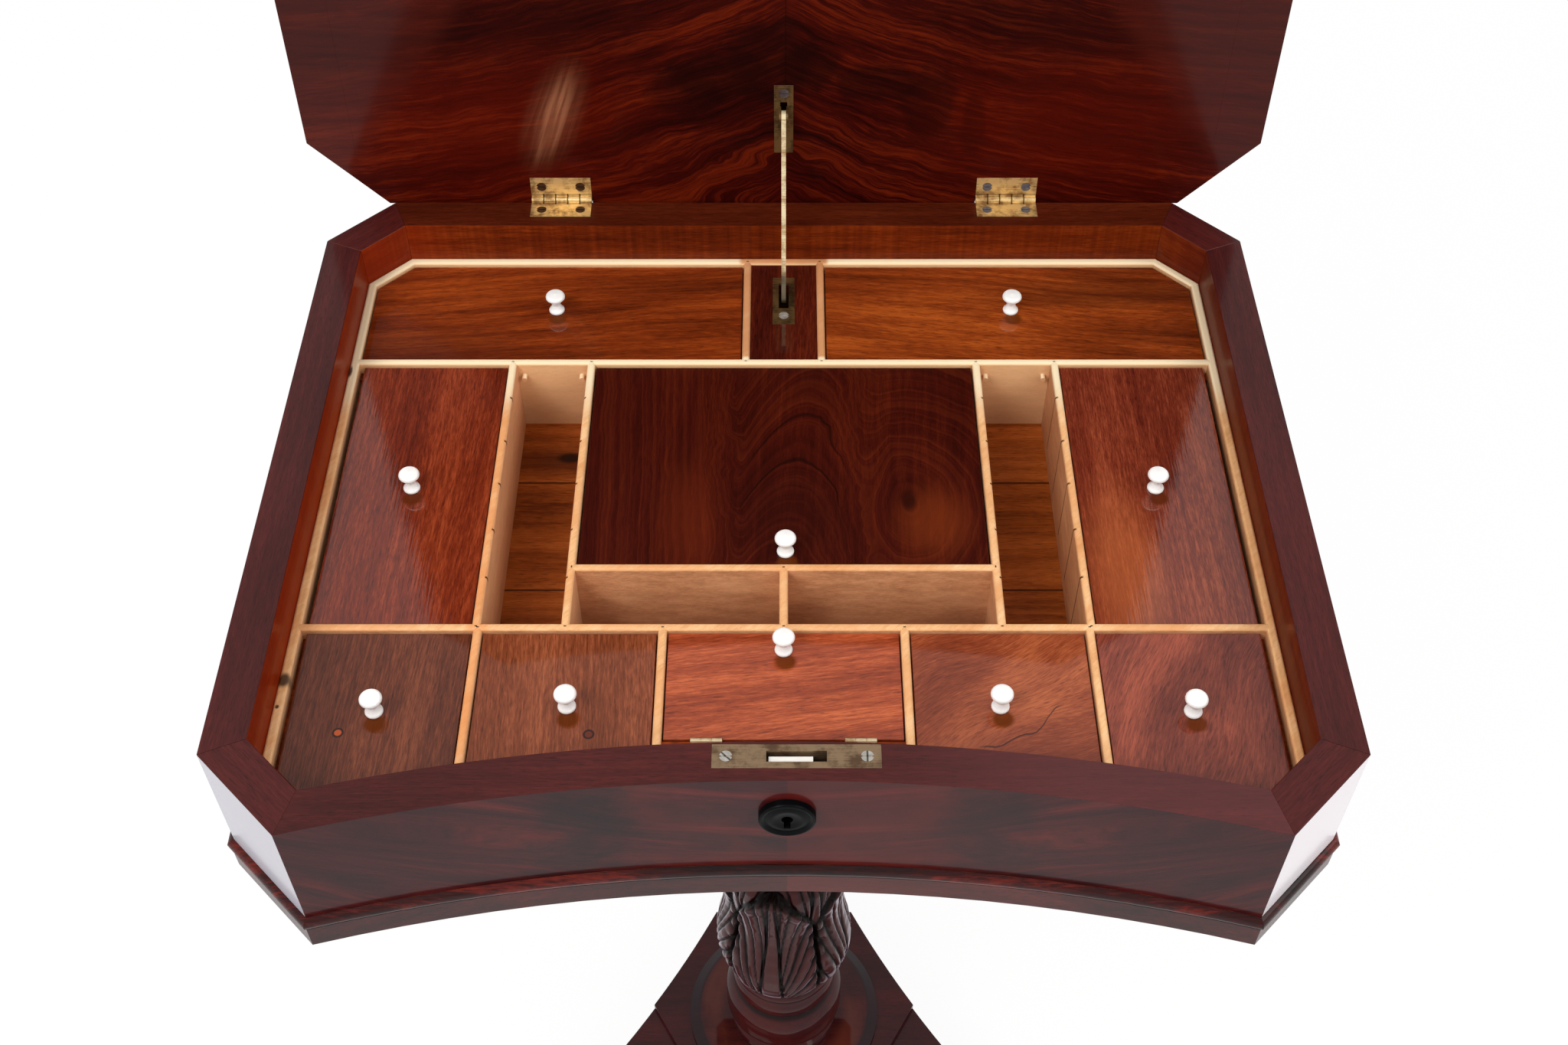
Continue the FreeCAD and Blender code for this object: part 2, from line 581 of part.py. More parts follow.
def moulding_section(origin, outward):
    """Bead, quirk, band and the part that runs in under the bottom board, cut square to the case."""
    bead_low = BODY_FOOT - size("bead_height")
    foot = bead_low - size("band_height")
    out, half = size("bead_out"), size("bead_height") / 2
    band, tuck = size("band_out"), size("moulding_tuck")

    def at(inset, z):
        return FreeCAD.Vector(origin[0] - outward[0] * inset, origin[1] - outward[1] * inset, z)

    facets = int(size("bead_facets"))
    turn = (math.pi - math.asin(size("bead_quirk") / out)) / facets
    bead = [at(-out * math.sin(turn * i), BODY_FOOT - half * (1 - math.cos(turn * i)))
            for i in range(facets)]
    points = bead + [at(-size("bead_quirk"), bead_low), at(-band, bead_low), at(-band, foot),
                     at(tuck, foot), at(tuck, BOARD_FOOT), at(0, BOARD_FOOT)]
    return Part.Face(Part.makePolygon(points + [points[0]]))


def moulding_shapes():
    """The moulding's eight lengths, each run along its face and cut to its mitres."""
    plan = outline(0)
    margin = size("overrun")
    run = size("case_width")
    low = BODY_FOOT - size("bead_height") - size("band_height") - margin
    mitres = frame(-size("bead_out") - margin, size("moulding_tuck") + margin, low, BODY_FOOT + margin)
    hollow = moulding_section(plan["middle"], (0, -1))
    centre = FreeCAD.Vector(plan["centre"][0], plan["centre"][1], 0)
    up = FreeCAD.Vector(0, 0, 1)
    sweep = size("front_sweep_angle")
    hollow.rotate(centre, up, -sweep)
    lengths = [hollow.revolve(centre, up, 2 * sweep)]
    across = math.sqrt(0.5)
    straight = (("back", (0, 1), (1,)), ("rear_side", (across, across), (1, -1)),
                ("rear_side", (1, 0), (1, -1)), ("front_side", (across, -across), (1, -1)))
    for corner, (out_x, out_y), signs in straight:
        section = moulding_section(plan[corner], (out_x, out_y))
        along = FreeCAD.Vector(-out_y * run, out_x * run, 0)
        section.translate(along * -1)
        whole = section.extrude(along * 2)
        lengths += [whole if sign > 0 else mirrored(whole) for sign in signs]
    return [length.common(mitre) for length, mitre in zip(lengths, mitres)]


node(feature("CaseMoulding", Part.makeCompound(moulding_shapes())), "case_moulding")
node(feature("MapleLiner", Part.makeCompound(frame(rail, LINER_IN, BODY_FOOT, LINER_TOP))), "maple_liner")

# Maple partitions
inside = feature("InsideSpace", prism(LINER_IN, BODY_FOOT, RIM))
part_z = (body_foot, liner_top)


def wall_y(row_name):
    """Both faces of a divider that runs across the case."""
    return ("back_y - %s - %s" % (row_name, half_part), "back_y - %s + %s" % (row_name, half_part))


wide_x = ("-case_width / 2", "case_width / 2")
rear_blank = box("RearDividerBlank", wide_x, wall_y("rear_row"), part_z)
node(common("RearDivider", rear_blank, inside), "rear_divider")
front_blank_wall = box("FrontDividerBlank", wide_x, wall_y("front_row"), part_z)
node(common("FrontDivider", front_blank_wall, inside), "front_divider")

well_y = ("back_y - front_row + %s" % half_part, "back_y - rear_row - %s" % half_part)
notch_count = 5
well_walls = []
for name, place_x in (("OuterLeft", "-well_outer"), ("InnerLeft", "-well_inner"),
                      ("InnerRight", "well_inner"), ("OuterRight", "well_outer")):
    faces = ("%s - %s" % (place_x, half_part), "%s + %s" % (place_x, half_part))
    wall = box("Well" + name, faces, well_y, part_z)
    if "Right" in name:
        notches = []
        face = "%s - %s" % (place_x, half_part)
        reach = ("%s - overrun" % face, "%s + notch_deep" % face)
        if name == "InnerRight":
            face = "%s + %s" % (place_x, half_part)
            reach = ("%s - notch_deep" % face, "%s + overrun" % face)
        for step in range(notch_count):
            share = "%d / %d" % (step + 1, notch_count + 1)
            middle = "(back_y - rear_row - (front_row - rear_row) * %s)" % share
            notches.append(box("%sNotch%d" % (name, step), reach,
                               ("%s - notch_wide / 2" % middle, "%s + notch_wide / 2" % middle),
                               ("%s + bearer" % body_foot, "%s + overrun" % liner_top)))
        wall = cut("Well%sNotched" % name, wall, notches)
    well_walls.append(wall)
node(group("WellPartitions", well_walls), "well_partitions")

short_walls = []
rear_y = ("back_y - rear_row + %s" % half_part, "back_y")
for side, sign in (("Left", "-"), ("Right", "")):
    faces = ("%sstay_bay - %s" % (sign, half_part), "%sstay_bay + %s" % (sign, half_part))
    blank = box("BayWall%sBlank" % side, faces, rear_y, part_z)
    short_walls.append(common("BayWall" + side, blank, inside))
front_y_span = ("back_y - case_depth", "back_y - front_row - %s" % half_part)
for name, place_x in (("OuterLeft", "-front_outer"), ("InnerLeft", "-front_inner"),
                      ("InnerRight", "front_inner"), ("OuterRight", "front_outer")):
    faces = ("%s - %s" % (place_x, half_part), "%s + %s" % (place_x, half_part))
    blank = box("Front%sBlank" % name, faces, front_y_span, part_z)
    short_walls.append(common("Front%sWall" % name, blank, inside))
pair_x = ("-well_inner + %s" % half_part, "well_inner - %s" % half_part)
short_walls.append(box("MidDivider", pair_x, wall_y("mid_row"), part_z))
short_walls.append(box("CentreWall", ("-%s" % half_part, half_part),
                       ("back_y - front_row + %s" % half_part, "back_y - mid_row - %s" % half_part), part_z))
node(group("ShortPartitions", short_walls), "short_partitions")

# Pegs near the tops of the wells
pegs = []
for side, sign in (("Left", "-"), ("Right", "")):
    for end, where in (("Back", "back_y - rear_row - %s" % half_part),
                       ("Front", "back_y - front_row + %s + peg_out" % half_part)):
        peg_y = "%s - peg_out" % where
        for name, shift in (("In", "well_inner + %s + bearer" % half_part),
                            ("Out", "well_outer - %s - bearer" % half_part)):
            pegs.append(rod("Peg%s%s%s" % (side, end, name), "peg_radius", "peg_out",
                            "%s(%s)" % (sign, shift), peg_y, "%s - peg_drop" % liner_top, "Y"))
node(group("WellPegs", pegs), "well_pegs")

# Compartment lids with their bearers and knobs; each bay is (x low, x high, back, front)
edge = "case_width / 2 - rail_thick - liner_thick"
rear_gap = ("rail_thick + liner_thick", "rear_row - %s" % half_part)
middle_gap = ("rear_row + %s" % half_part, "front_row - %s" % half_part)
front_gap = ("front_row + %s" % half_part, "case_depth")
BAYS = [
    ("rear_left", ("-(%s)" % edge, "-stay_bay - %s" % half_part), rear_gap, ("-knob_rear_x", "knob_rear_row")),
    ("rear_right", ("stay_bay + %s" % half_part, edge), rear_gap, ("knob_rear_x", "knob_rear_row")),
    ("side_left", ("-(%s)" % edge, "-well_outer - %s" % half_part), middle_gap,
     ("-knob_side_x", "knob_side_row")),
    ("side_right", ("well_outer + %s" % half_part, edge), middle_gap, ("knob_side_x", "knob_side_row")),
    ("centre", ("-well_inner + %s" % half_part, "well_inner - %s" % half_part),
     ("rear_row + %s" % half_part, "mid_row - %s" % half_part), ("knob_centre_x", "knob_centre_row")),
    ("front_left", ("-(%s)" % edge, "-front_outer - %s" % half_part), front_gap,
     ("-knob_front_x", "knob_front_row")),
    ("front_inner_left", ("-front_outer + %s" % half_part, "-front_inner - %s" % half_part), front_gap,
     ("-knob_inner_x", "knob_inner_row")),
    ("front_inner_right", ("front_inner + %s" % half_part, "front_outer - %s" % half_part), front_gap,
     ("knob_inner_x", "knob_inner_row")),
    ("front_right", ("front_outer + %s" % half_part, edge), front_gap, ("knob_front_x", "knob_front_row")),
]


def knob_shape(x, y):
    """A turned bone knob: foot, waist, domed cap and the pin that holds it."""
    foot, waist, cap, high = size("knob_foot"), size("knob_waist"), size("knob_radius"), size("knob_height")
    pin, deep = size("knob_pin"), size("flat_thick") * pin_share
    low = FLAT_TOP
    profile = [(0, low - deep), (pin, low - deep), (pin, low), (foot, low),
               (foot, low + high * foot_share, size("knob_foot") * swell_share),
               (waist, low + high * waist_share, -size("knob_foot") * swell_share),
               (cap, low + high * rim_share, -size("knob_foot") * swell_share),
               (cap * top_share, low + high * dome_share, cap * swell_share),
               (0, low + high)]
    return turned(profile, x, y)


pin_share = 0.7
foot_share = 0.14
waist_share = 0.42
rim_share = 0.78
dome_share = 0.95
top_share = 0.8
swell_share = 0.08
bay_space = feature("LidSpace", prism(LINER_IN + size("flat_play"), FLAT_FOOT, FLAT_TOP))
bearers = []


def bay_bearers(name, across, gap):
    """Two strips for one lid: at its ends, or along its front and back where it is long."""
    low, high = "back_y - (%s)" % gap[1], "back_y - (%s)" % gap[0]
    strip_z = ("%s - lift_clear - bearer" % flat_foot, "%s - lift_clear" % flat_foot)
    if name.startswith("side"):
        first = box(name + "BearerA", across, (low, "%s + bearer_wide" % low), strip_z)
        second = box(name + "BearerB", across, ("%s - bearer_wide" % high, high), strip_z)
    else:
        first = box(name + "BearerA", (across[0], "(%s) + bearer_wide" % across[0]), (low, high), strip_z)
        second = box(name + "BearerB", ("(%s) - bearer_wide" % across[1], across[1]), (low, high), strip_z)
    return [common(name + "BearerC", first, inside), common(name + "BearerD", second, inside)]


for name, across, gap, knob_at in BAYS:
    left_play = "side_play" if name in ("side_left", "front_left") else "flat_play"
    right_play = "side_play" if name in ("side_right", "front_right") else "flat_play"
    flat_x = ("%s + %s" % (across[0], left_play), "(%s) - %s" % (across[1], right_play))
    flat_y = ("back_y - (%s) + flat_play" % gap[1], "back_y - (%s) - flat_play" % gap[0])
    blank = box(name + "Blank", flat_x, flat_y, (flat_foot, flat_top))
    trimmed = common(name + "Trimmed", blank, bay_space)
    knob_y = "back_y - %s" % knob_at[1]
    hole = rod(name + "Hole", "knob_pin", "flat_thick * %s" % pin_share, knob_at[0], knob_y, flat_top, "-Z")
    node(cut(name + "Lid", trimmed, [hole]), name + "_lid")
    sign = -1 if knob_at[0].startswith("-") else 1
    knob_x = sign * size(knob_at[0].lstrip("-"))
    node(feature(name + "Knob", knob_shape(knob_x, size("back_y") - size(knob_at[1]))), name + "_knob")
    bearers += bay_bearers(name, across, gap)

# Front flap on two small hinges
flap_y = "(back_y - flap_axis)"
flap_x = ("-front_inner + %s + flat_play" % half_part, "front_inner - %s - flat_play" % half_part)
flap_reach = ("%s + flap_gap / 2" % flap_y, "back_y - front_row - %s - flat_play" % half_part)
flap_blank = box("FlapBlank", flap_x, flap_reach, (flat_foot, flat_top))
flap_hole = rod("FlapHole", "knob_pin", "flat_thick * %s" % pin_share, "0",
                "back_y - knob_flap_row", flat_top, "-Z")
strip_x = ("-front_inner + %s" % half_part, "front_inner - %s" % half_part)
strip_blank = common("FlapStripBlank",
                     box("FlapStripBox", strip_x, ("back_y - case_depth", "%s - flap_gap / 2" % flap_y),
                         (flat_foot, flat_top)), inside)
strip_notches = []
flap_notches = []
fixed_leaves = []
moving_leaves = []
for side, sign in (("Left", "-"), ("Right", "")):
    start = "(%sflap_hinge_x - flap_hinge_wide / 2)" % sign
    end = "(%sflap_hinge_x + flap_hinge_wide / 2)" % sign
    for holder, notches in (("Strip", strip_notches), ("Flap", flap_notches)):
        notches.append(rod("%sNotch%s" % (holder, side), "flap_knuckle + knuckle_gap / 2", "flap_hinge_wide",
                           start, flap_y, flat_top, "X"))
    leaf_z = ("%s - flap_leaf_deep" % flat_top, "%s - flap_knuckle - knuckle_gap" % flat_top)
    faces = {"Fixed": ("%s - flap_gap / 2" % flap_y, "%s - flap_gap / 2 + flap_leaf" % flap_y),
             "Moving": ("%s + flap_gap / 2 - flap_leaf" % flap_y, "%s + flap_gap / 2" % flap_y)}
    for half, indices, leaves, bore in (("Fixed", (0, 2), fixed_leaves, "flap_pin"),
                                        ("Moving", (1,), moving_leaves, "flap_pin + running_fit")):
        tag = "Flap%s%s" % (half, side)
        parts = [box(tag + "Leaf", (start, end), faces[half], leaf_z)]
        for index in indices:
            low = "%s + flap_hinge_wide / 3 * %d + knuckle_gap / 2" % (start, index)
            high = "%s + flap_hinge_wide / 3 * %d - knuckle_gap / 2" % (start, index + 1)
            parts.append(box("%sTab%d" % (tag, index), (low, high), faces[half],
                             ("%s - flap_knuckle - knuckle_gap" % flat_top, flat_top)))
            parts.append(rod("%sKnuckle%d" % (tag, index), "flap_knuckle",
                             "flap_hinge_wide / 3 - knuckle_gap", low, flap_y, flat_top, "X"))
        drill = rod(tag + "Bore", bore, "flap_hinge_wide + 2 * overrun", "%s - overrun" % start,
                    flap_y, flat_top, "X")
        leaves.append(cut(tag, fuse(tag + "Solid", parts), [drill]))
    fixed_leaves.append(rod("FlapPin" + side, "flap_pin", "flap_hinge_wide", start, flap_y, flat_top, "X"))
node(cut("FrontFlap", flap_blank, flap_notches + [flap_hole]), "front_flap")
node(feature("FrontFlapKnob", knob_shape(0, size("back_y") - size("knob_flap_row"))), "front_flap_knob")
node(group("FlapFixedLeaves", fixed_leaves), "flap_hinge_fixed_leaves")
node(group("FlapMovingLeaves", moving_leaves), "flap_hinge_lid_leaves")
bearers.append(cut("FlapStrip", strip_blank, strip_notches))
flap_gap_bounds = ("front_row + %s" % half_part, "flap_axis")
bearers += bay_bearers("flap", strip_x, flap_gap_bounds)
node(group("LidBearers", bearers), "lid_bearers")

# Stay block and its slotted plate
block_x = ("-stay_bay + %s" % half_part, "stay_bay - %s" % half_part)
block_y = ("back_y - rear_row + %s" % half_part, "back_y - rail_thick - liner_thick")
block_blank = box("StayBlockBlank", block_x, block_y, ("%s - block_thick" % block_top, block_top))
stay_x = ("-plate_wide / 2", "plate_wide / 2")
stay_y = ("back_y - plate_front", "back_y - plate_back")
stay_seat = box("StaySeat", stay_x, stay_y, ("%s - plate_thick" % block_top, "%s + overrun" % block_top))
stay_slot = box("StaySlot", ("-plate_slot_wide / 2", "plate_slot_wide / 2"),
                ("back_y - plate_slot_front", "back_y - plate_slot_back"),
                ("%s - block_thick - overrun" % block_top, "%s + overrun" % block_top))
node(cut("StayBlock", block_blank, [stay_seat, stay_slot, plate_hole]), "stay_block")
stay_plate = box("StayPlateBlank", stay_x, stay_y, ("%s - plate_thick" % block_top, block_top))
node(cut("StayCasePlate", stay_plate, [stay_slot, plate_hole]), "stay_case_plate")
node(group("CaseScrews", case_screws), "case_screws")

# Escutcheon, turned about the line of the keyhole
scutcheon_r, scutcheon_out = size("scutcheon_radius"), size("scutcheon_out")
scutcheon_lip, scutcheon_dish = size("scutcheon_lip"), size("scutcheon_dish")
ring_share = 0.55
ring_rise_share = 0.35
hub_share = 0.3
face_profile = [(0, -scutcheon_out), (scutcheon_r, -scutcheon_out),
                (scutcheon_r, scutcheon_out - scutcheon_lip),
                (scutcheon_r - scutcheon_lip, scutcheon_out, scutcheon_lip / 3),
                (scutcheon_r - 2 * scutcheon_lip, scutcheon_out - scutcheon_dish),
                (scutcheon_r * ring_share, scutcheon_out - scutcheon_dish * ring_rise_share),
                (scutcheon_r * hub_share, scutcheon_out - scutcheon_dish),
                (0, scutcheon_out - scutcheon_dish)]
scutcheon = feature("ScutcheonTurning", turned(face_profile))
front_at = size("back_y") - size("case_depth") + size("front_hollow")
scutcheon.Placement = FreeCAD.Placement(FreeCAD.Vector(size("key_x"), front_at, RIM - size("key_z")),
                                        FreeCAD.Rotation(FreeCAD.Vector(1, 0, 0), 90))
collar = cut("ScutcheonCollar", scutcheon, [front_blank])
spigot = rod("ScutcheonSpigot", "scutcheon_spigot", "spigot_deep + scutcheon_out / 3",
             "key_x", "%s - scutcheon_out / 3" % front_y, key_z_at, "Y")
node(cut("Escutcheon", fuse("ScutcheonSolid", [collar, spigot]), [key_to_lock]), "escutcheon")

# Main lid, drawn shut
lid_low = "(rim_z + lid_gap)"
LID_LOW = RIM + size("lid_gap")
lid_blank = prism(-size("lid_over"), LID_LOW, LID_LOW + size("lid_thick"), -size("lid_over_back"),
                  -size("lid_over_cant"))
swing = FreeCAD.Placement(FreeCAD.Vector(), FreeCAD.Rotation(FreeCAD.Vector(1, 0, 0), -size("lid_open_angle")),
                          FreeCAD.Vector(0, size("back_y") + size("knuckle_radius") + size("knuckle_gap"),
                                         RIM + size("lid_gap") / 2))


def on_lid(piece, label):
    """Name a piece of the lid and swing it open."""
    piece.Placement = swing.multiply(piece.Placement)
    return node(piece, label)


lid_screws = []
lid_hinge_holes = []
lid_seats = []
knuckle_rebates = []
lid_leaves = []
for side, sign in (("Left", "-"), ("Right", "")):
    for end, shift in (("A", "-"), ("B", "+")):
        where = "%shinge_x %s hinge_wide * %s" % (sign, shift, screw_share)
        hole, body = screw("LidHingeScrew%s%s" % (side, end), where, "back_y - leaf_reach / 2", lid_low, "Z")
        lid_hinge_holes.append(hole)
        lid_screws.append(body)
    half = hinge_half("LidHinge" + side, sign, (0, 2, 4), lid_low, "%s + leaf_thick" % lid_low,
                      "pin_radius + running_fit")
    lid_leaves.append(cut("LidLeaf" + side, half, [h for h in lid_hinge_holes if side in h.Name]))
    lid_seats.append(box("LidHingeSeat" + side,
                         ("%shinge_x - hinge_wide / 2" % sign, "%shinge_x + hinge_wide / 2" % sign),
                         ("back_y - leaf_reach", "back_y + overrun"),
                         ("%s - overrun" % lid_low, "%s + leaf_thick" % lid_low)))
    knuckle_rebates.append(box("KnuckleRebate" + side,
                               ("%shinge_x - hinge_wide / 2 - knuckle_gap" % sign,
                                "%shinge_x + hinge_wide / 2 + knuckle_gap" % sign),
                               ("back_y", "back_y + lid_over_back + overrun"),
                               ("%s - overrun" % lid_low, "%s + knuckle_radius + 2 * knuckle_gap" % axis_z)))
catch_holes = []
for side, sign in (("Left", "-"), ("Right", "+")):
    screw_x = "lock_x %s (lock_long / 2 - lock_wide / 2)" % sign
    hole, body = screw("CatchScrew" + side, screw_x, lock_y, lid_low, "Z")
    catch_holes.append(hole)
    lid_screws.append(body)
axis_line = "(back_y + knuckle_radius + knuckle_gap)"
stay_hole, body = screw("LidPlateScrew", "0", "%s - lid_plate_screw" % axis_line, lid_low, "Z")
lid_screws.append(body)
catch_seat = box("CatchSeat", plate_x, plate_y, ("%s - overrun" % lid_low, "%s + plate_thick" % lid_low))
lid_plate_x = ("-lid_plate_wide / 2", "lid_plate_wide / 2")
lid_plate_y = ("%s - lid_plate_high" % axis_line, "%s - lid_plate_low" % axis_line)
lid_plate_seat = box("LidPlateSeat", lid_plate_x, lid_plate_y,
                     ("%s - overrun" % lid_low, "%s + plate_thick" % lid_low))
lid_slot = box("LidSlot", ("-lid_slot_wide / 2", "lid_slot_wide / 2"),
               ("%s - lid_slot_high" % axis_line, "%s - lid_slot_low" % axis_line),
               ("%s - overrun" % lid_low, "%s + lid_thick / 2" % lid_low))
panel_half = size("case_width") / 2 + size("lid_over") - size("clamp_wide")
panel_box = Part.makeBox(2 * panel_half, 2 * size("case_depth"), 2 * size("lid_thick"),
                         FreeCAD.Vector(-panel_half, -size("case_depth"), LID_LOW - size("overrun")))
panel_blank = feature("LidPanelBlank", lid_blank.common(panel_box))
panel_cutters = lid_seats + knuckle_rebates + lid_hinge_holes + catch_holes
panel_cutters += [stay_hole, catch_seat, lid_plate_seat, lid_slot]
on_lid(cut("LidPanel", panel_blank, panel_cutters), "lid_panel")
on_lid(feature("LidEndClamps", lid_blank.cut(panel_box)), "lid_end_clamps")
on_lid(group("LidHinges", lid_leaves), "lid_hinge_leaves")
on_lid(group("LidScrews", lid_screws), "lid_screws")
catch_blank = box("CatchBlank", plate_x, plate_y, (lid_low, "%s + plate_thick" % lid_low))
staple_x = ("%s + staple_gap" % bolt_end, "%s + bolt_travel - staple_gap" % bolt_end)
staple_reach = "(bolt_wide / 2 + 2 * lift_clear + staple_wall)"
staple_foot = "(%s - bolt_high - 2 * lift_clear - staple_wall)" % bolt_top
staple_y = ("%s - %s" % (lock_y, staple_reach), "%s + %s" % (lock_y, staple_reach))
staple_block = box("StapleBlock", staple_x, staple_y, (staple_foot, lid_low))
staple_eye = box("StapleEye", ("%s - overrun" % staple_x[0], "%s + overrun" % staple_x[1]),
                 ("%s + staple_wall" % staple_y[0], "%s - staple_wall" % staple_y[1]),
                 ("%s + staple_wall" % staple_foot, "%s + 2 * lift_clear" % bolt_top))
catch_solid = fuse("CatchSolid", [catch_blank, staple_block])
on_lid(cut("LidCatchPlate", catch_solid, [staple_eye] + catch_holes), "lid_catch_plate")

# Stay: plate and pivot on the lid
pivot_y = "(%s - pivot_up)" % axis_line
pivot_z = "(%s - pivot_out)" % lid_low
lid_plate = box("LidPlateBlank", lid_plate_x, lid_plate_y, (lid_low, "%s + plate_thick" % lid_low))
slotted = cut("LidPlateSlotted", lid_plate, [lid_slot, stay_hole])
lugs = []
lug_y = ("%s - lug_radius" % pivot_y, "%s + lug_radius" % pivot_y)
for side, low in (("Left", "-strap_thick / 2 - lift_clear - lug_thick"),
                  ("Right", "strap_thick / 2 + lift_clear")):
    lugs.append(box("LugPost" + side, (low, "%s + lug_thick" % low), lug_y,
                    (pivot_z, "%s + plate_thick / 2" % lid_low)))
    lugs.append(rod("LugRound" + side, "lug_radius", "lug_thick", low, pivot_y, pivot_z, "X"))
pin_length = "(strap_thick + 2 * lift_clear + 2 * lug_thick)"
pivot_bore = rod("PivotBore", "pivot_radius", pin_length, "-%s / 2" % pin_length, pivot_y, pivot_z, "X")
pivot_pin = rod("PivotPin", "pivot_radius", pin_length, "-%s / 2" % pin_length, pivot_y, pivot_z, "X")
lugged = cut("LidPlateLugged", fuse("LidPlateSolid", [slotted] + lugs), [pivot_bore])
on_lid(group("StayLidPlate", [lugged, pivot_pin]), "stay_lid_plate")


def strap_shape():
    """The flat strap from its eye on the lid to its rounded foot in the lower plate."""
    pivot = swing.multVec(FreeCAD.Vector(0, size("back_y") + size("knuckle_radius") + size("knuckle_gap")
                                         - size("pivot_up"), LID_LOW - size("pivot_out")))
    tip = size("strap_wide") / 2
    block_high = LINER_TOP - size("block_drop")
    foot = FreeCAD.Vector(0, size("back_y") - size("strap_foot"), block_high + tip - size("strap_dip"))
    thick = size("strap_thick")
    shift = FreeCAD.Vector(-thick / 2, 0, 0)
    along = (foot - pivot).normalize()
    across = FreeCAD.Vector(1, 0, 0).cross(along) * tip
    corners = [pivot + across, foot + across, foot - across, pivot - across]
    points = [corner + shift for corner in corners]
    bar = Part.Face(Part.makePolygon(points + [points[0]])).extrude(FreeCAD.Vector(thick, 0, 0))
    sideways = FreeCAD.Vector(1, 0, 0)
    eye = Part.makeCylinder(size("strap_eye"), thick, pivot + shift, sideways)
    toe = Part.makeCylinder(tip, thick, foot + shift, sideways)
    bore = Part.makeCylinder(size("pivot_radius") + size("running_fit"), thick + 2 * size("overrun"),
                             pivot + shift - sideways * size("overrun"), sideways)
    return bar.fuse([eye, toe]).cut(bore).removeSplitter()


node(feature("StayStrap", strap_shape()), "stay_strap")

# Column and base
BASE_LOW = size("foot_height")
TIER_LOW = BASE_LOW + size("base_thick")
DISC_LOW = TIER_LOW + size("tier_thick")
RING_LOW = DISC_LOW + size("disc_thick")
REEL_LOW = RING_LOW + size("ring_height")
BEAD_LOW = REEL_LOW + size("reel_height")
BULB_LOW = BEAD_LOW + size("neck_bead_height")
SHAFT_LOW = BULB_LOW + size("bulb_height")
BLOCK_LOW = BOARD_FOOT - size("block_high")
CAP_LOW = BLOCK_LOW - size("cap_height")
block_foot = "(rim_z - body_height - bottom_thick - block_high)"
ring_foot = "(foot_height + base_thick + tier_thick + disc_thick)"


def triform(reach, low, high):
    """A three-armed slab: one arm to the back, sides hollowed between the squared arm ends."""
    side, radius = size("base_side"), size("base_hollow_radius")
    away = side + radius
    sine, cosine = math.sin(math.radians(60)), math.cos(math.radians(60))
    linear = away * sine
    constant = reach * reach + away * away - 2 * away * reach * cosine - radius * radius
    half = linear - math.sqrt(linear * linear - constant)
    edges = []
    ends = []
    for arm in range(3):
        turn = math.radians(90 + 120 * arm)
        out = FreeCAD.Vector(math.cos(turn), math.sin(turn), 0)
        left = FreeCAD.Vector(-out.y, out.x, 0)
        lift = FreeCAD.Vector(0, 0, low)
        ends.append((out * reach - left * half + lift, out * reach + left * half + lift))
    for arm in range(3):
        start, end = ends[arm]
        following = ends[(arm + 1) % 3][0]
        turn = math.radians(150 + 120 * arm)
        middle = FreeCAD.Vector(side * math.cos(turn), side * math.sin(turn), low)
        edges.append(Part.makeLine(start, end))
        edges.append(Part.Arc(end, middle, following).toShape())
    return Part.Face(Part.Wire(edges)).extrude(FreeCAD.Vector(0, 0, high - low))


def on_column(piece, label):
    """Name a piece drawn about the origin and set it on the column's axis."""
    piece.Placement = FreeCAD.Placement(FreeCAD.Vector(0, size("column_y"), 0), FreeCAD.Rotation())
    return node(piece, label)


tenon_low = "(%s - tenon_long)" % ring_foot
foot_tenon = rod("FootTenon", "tenon_radius", "tenon_long", "0", "0", tenon_low)
head_tenon = rod("HeadTenon", "tenon_radius", "cap_height + block_high / 2", "0", "0",
                 "%s - cap_height" % block_foot)
base_blank = feature("PlinthBaseBlank", triform(size("base_reach"), BASE_LOW, TIER_LOW))
on_column(cut("PlinthBase", base_blank, [foot_tenon]), "plinth_base")
top_blank = feature("PlinthTopBlank", triform(size("tier_reach"), TIER_LOW, DISC_LOW))
on_column(cut("PlinthTop", top_blank, [foot_tenon]), "plinth_top")
bevel_share = 0.6
disc_r, disc_high = size("disc_radius"), size("disc_thick")
disc_points = [(0, DISC_LOW), (disc_r, DISC_LOW), (disc_r, DISC_LOW + disc_high * (1 - bevel_share)),
               (disc_r - size("disc_bevel"), RING_LOW), (0, RING_LOW)]
on_column(cut("BaseDisc", feature("DiscBlank", turned(disc_points)), [foot_tenon]), "base_disc")
ring_r, reel_r = size("ring_radius"), size("reel_radius")
ring_foot_share = 0.93
groove_share = 0.9
ring_low_share = 0.16
ring_belly_share = 0.4
ring_shoulder_share = 0.8
reel_round_share = 0.2
groove_r = reel_r * groove_share
reel_round = size("reel_height") * reel_round_share
ring_points = [(0, RING_LOW), (ring_r * ring_foot_share, RING_LOW),
               (ring_r * ring_foot_share, RING_LOW + size("ring_height") * ring_low_share / 2),
               (groove_r, RING_LOW + size("ring_height") * ring_low_share),
               (ring_r, RING_LOW + size("ring_height") * ring_belly_share, ring_r * swell_share / 3),
               (ring_r, RING_LOW + size("ring_height") * ring_shoulder_share),
               (groove_r, REEL_LOW, ring_r * swell_share / 3),
               (reel_r, REEL_LOW + reel_round, reel_round * swell_share),
               (reel_r, BEAD_LOW - 2 * reel_round),
               (groove_r, BEAD_LOW, -reel_round * swell_share),
               (groove_r, BULB_LOW, size("neck_bead_radius") - groove_r), (0, BULB_LOW)]
ring_blank = feature("RingBlank", turned(ring_points))
on_column(fuse("NeckRings", [ring_blank, foot_tenon]), "neck_rings")
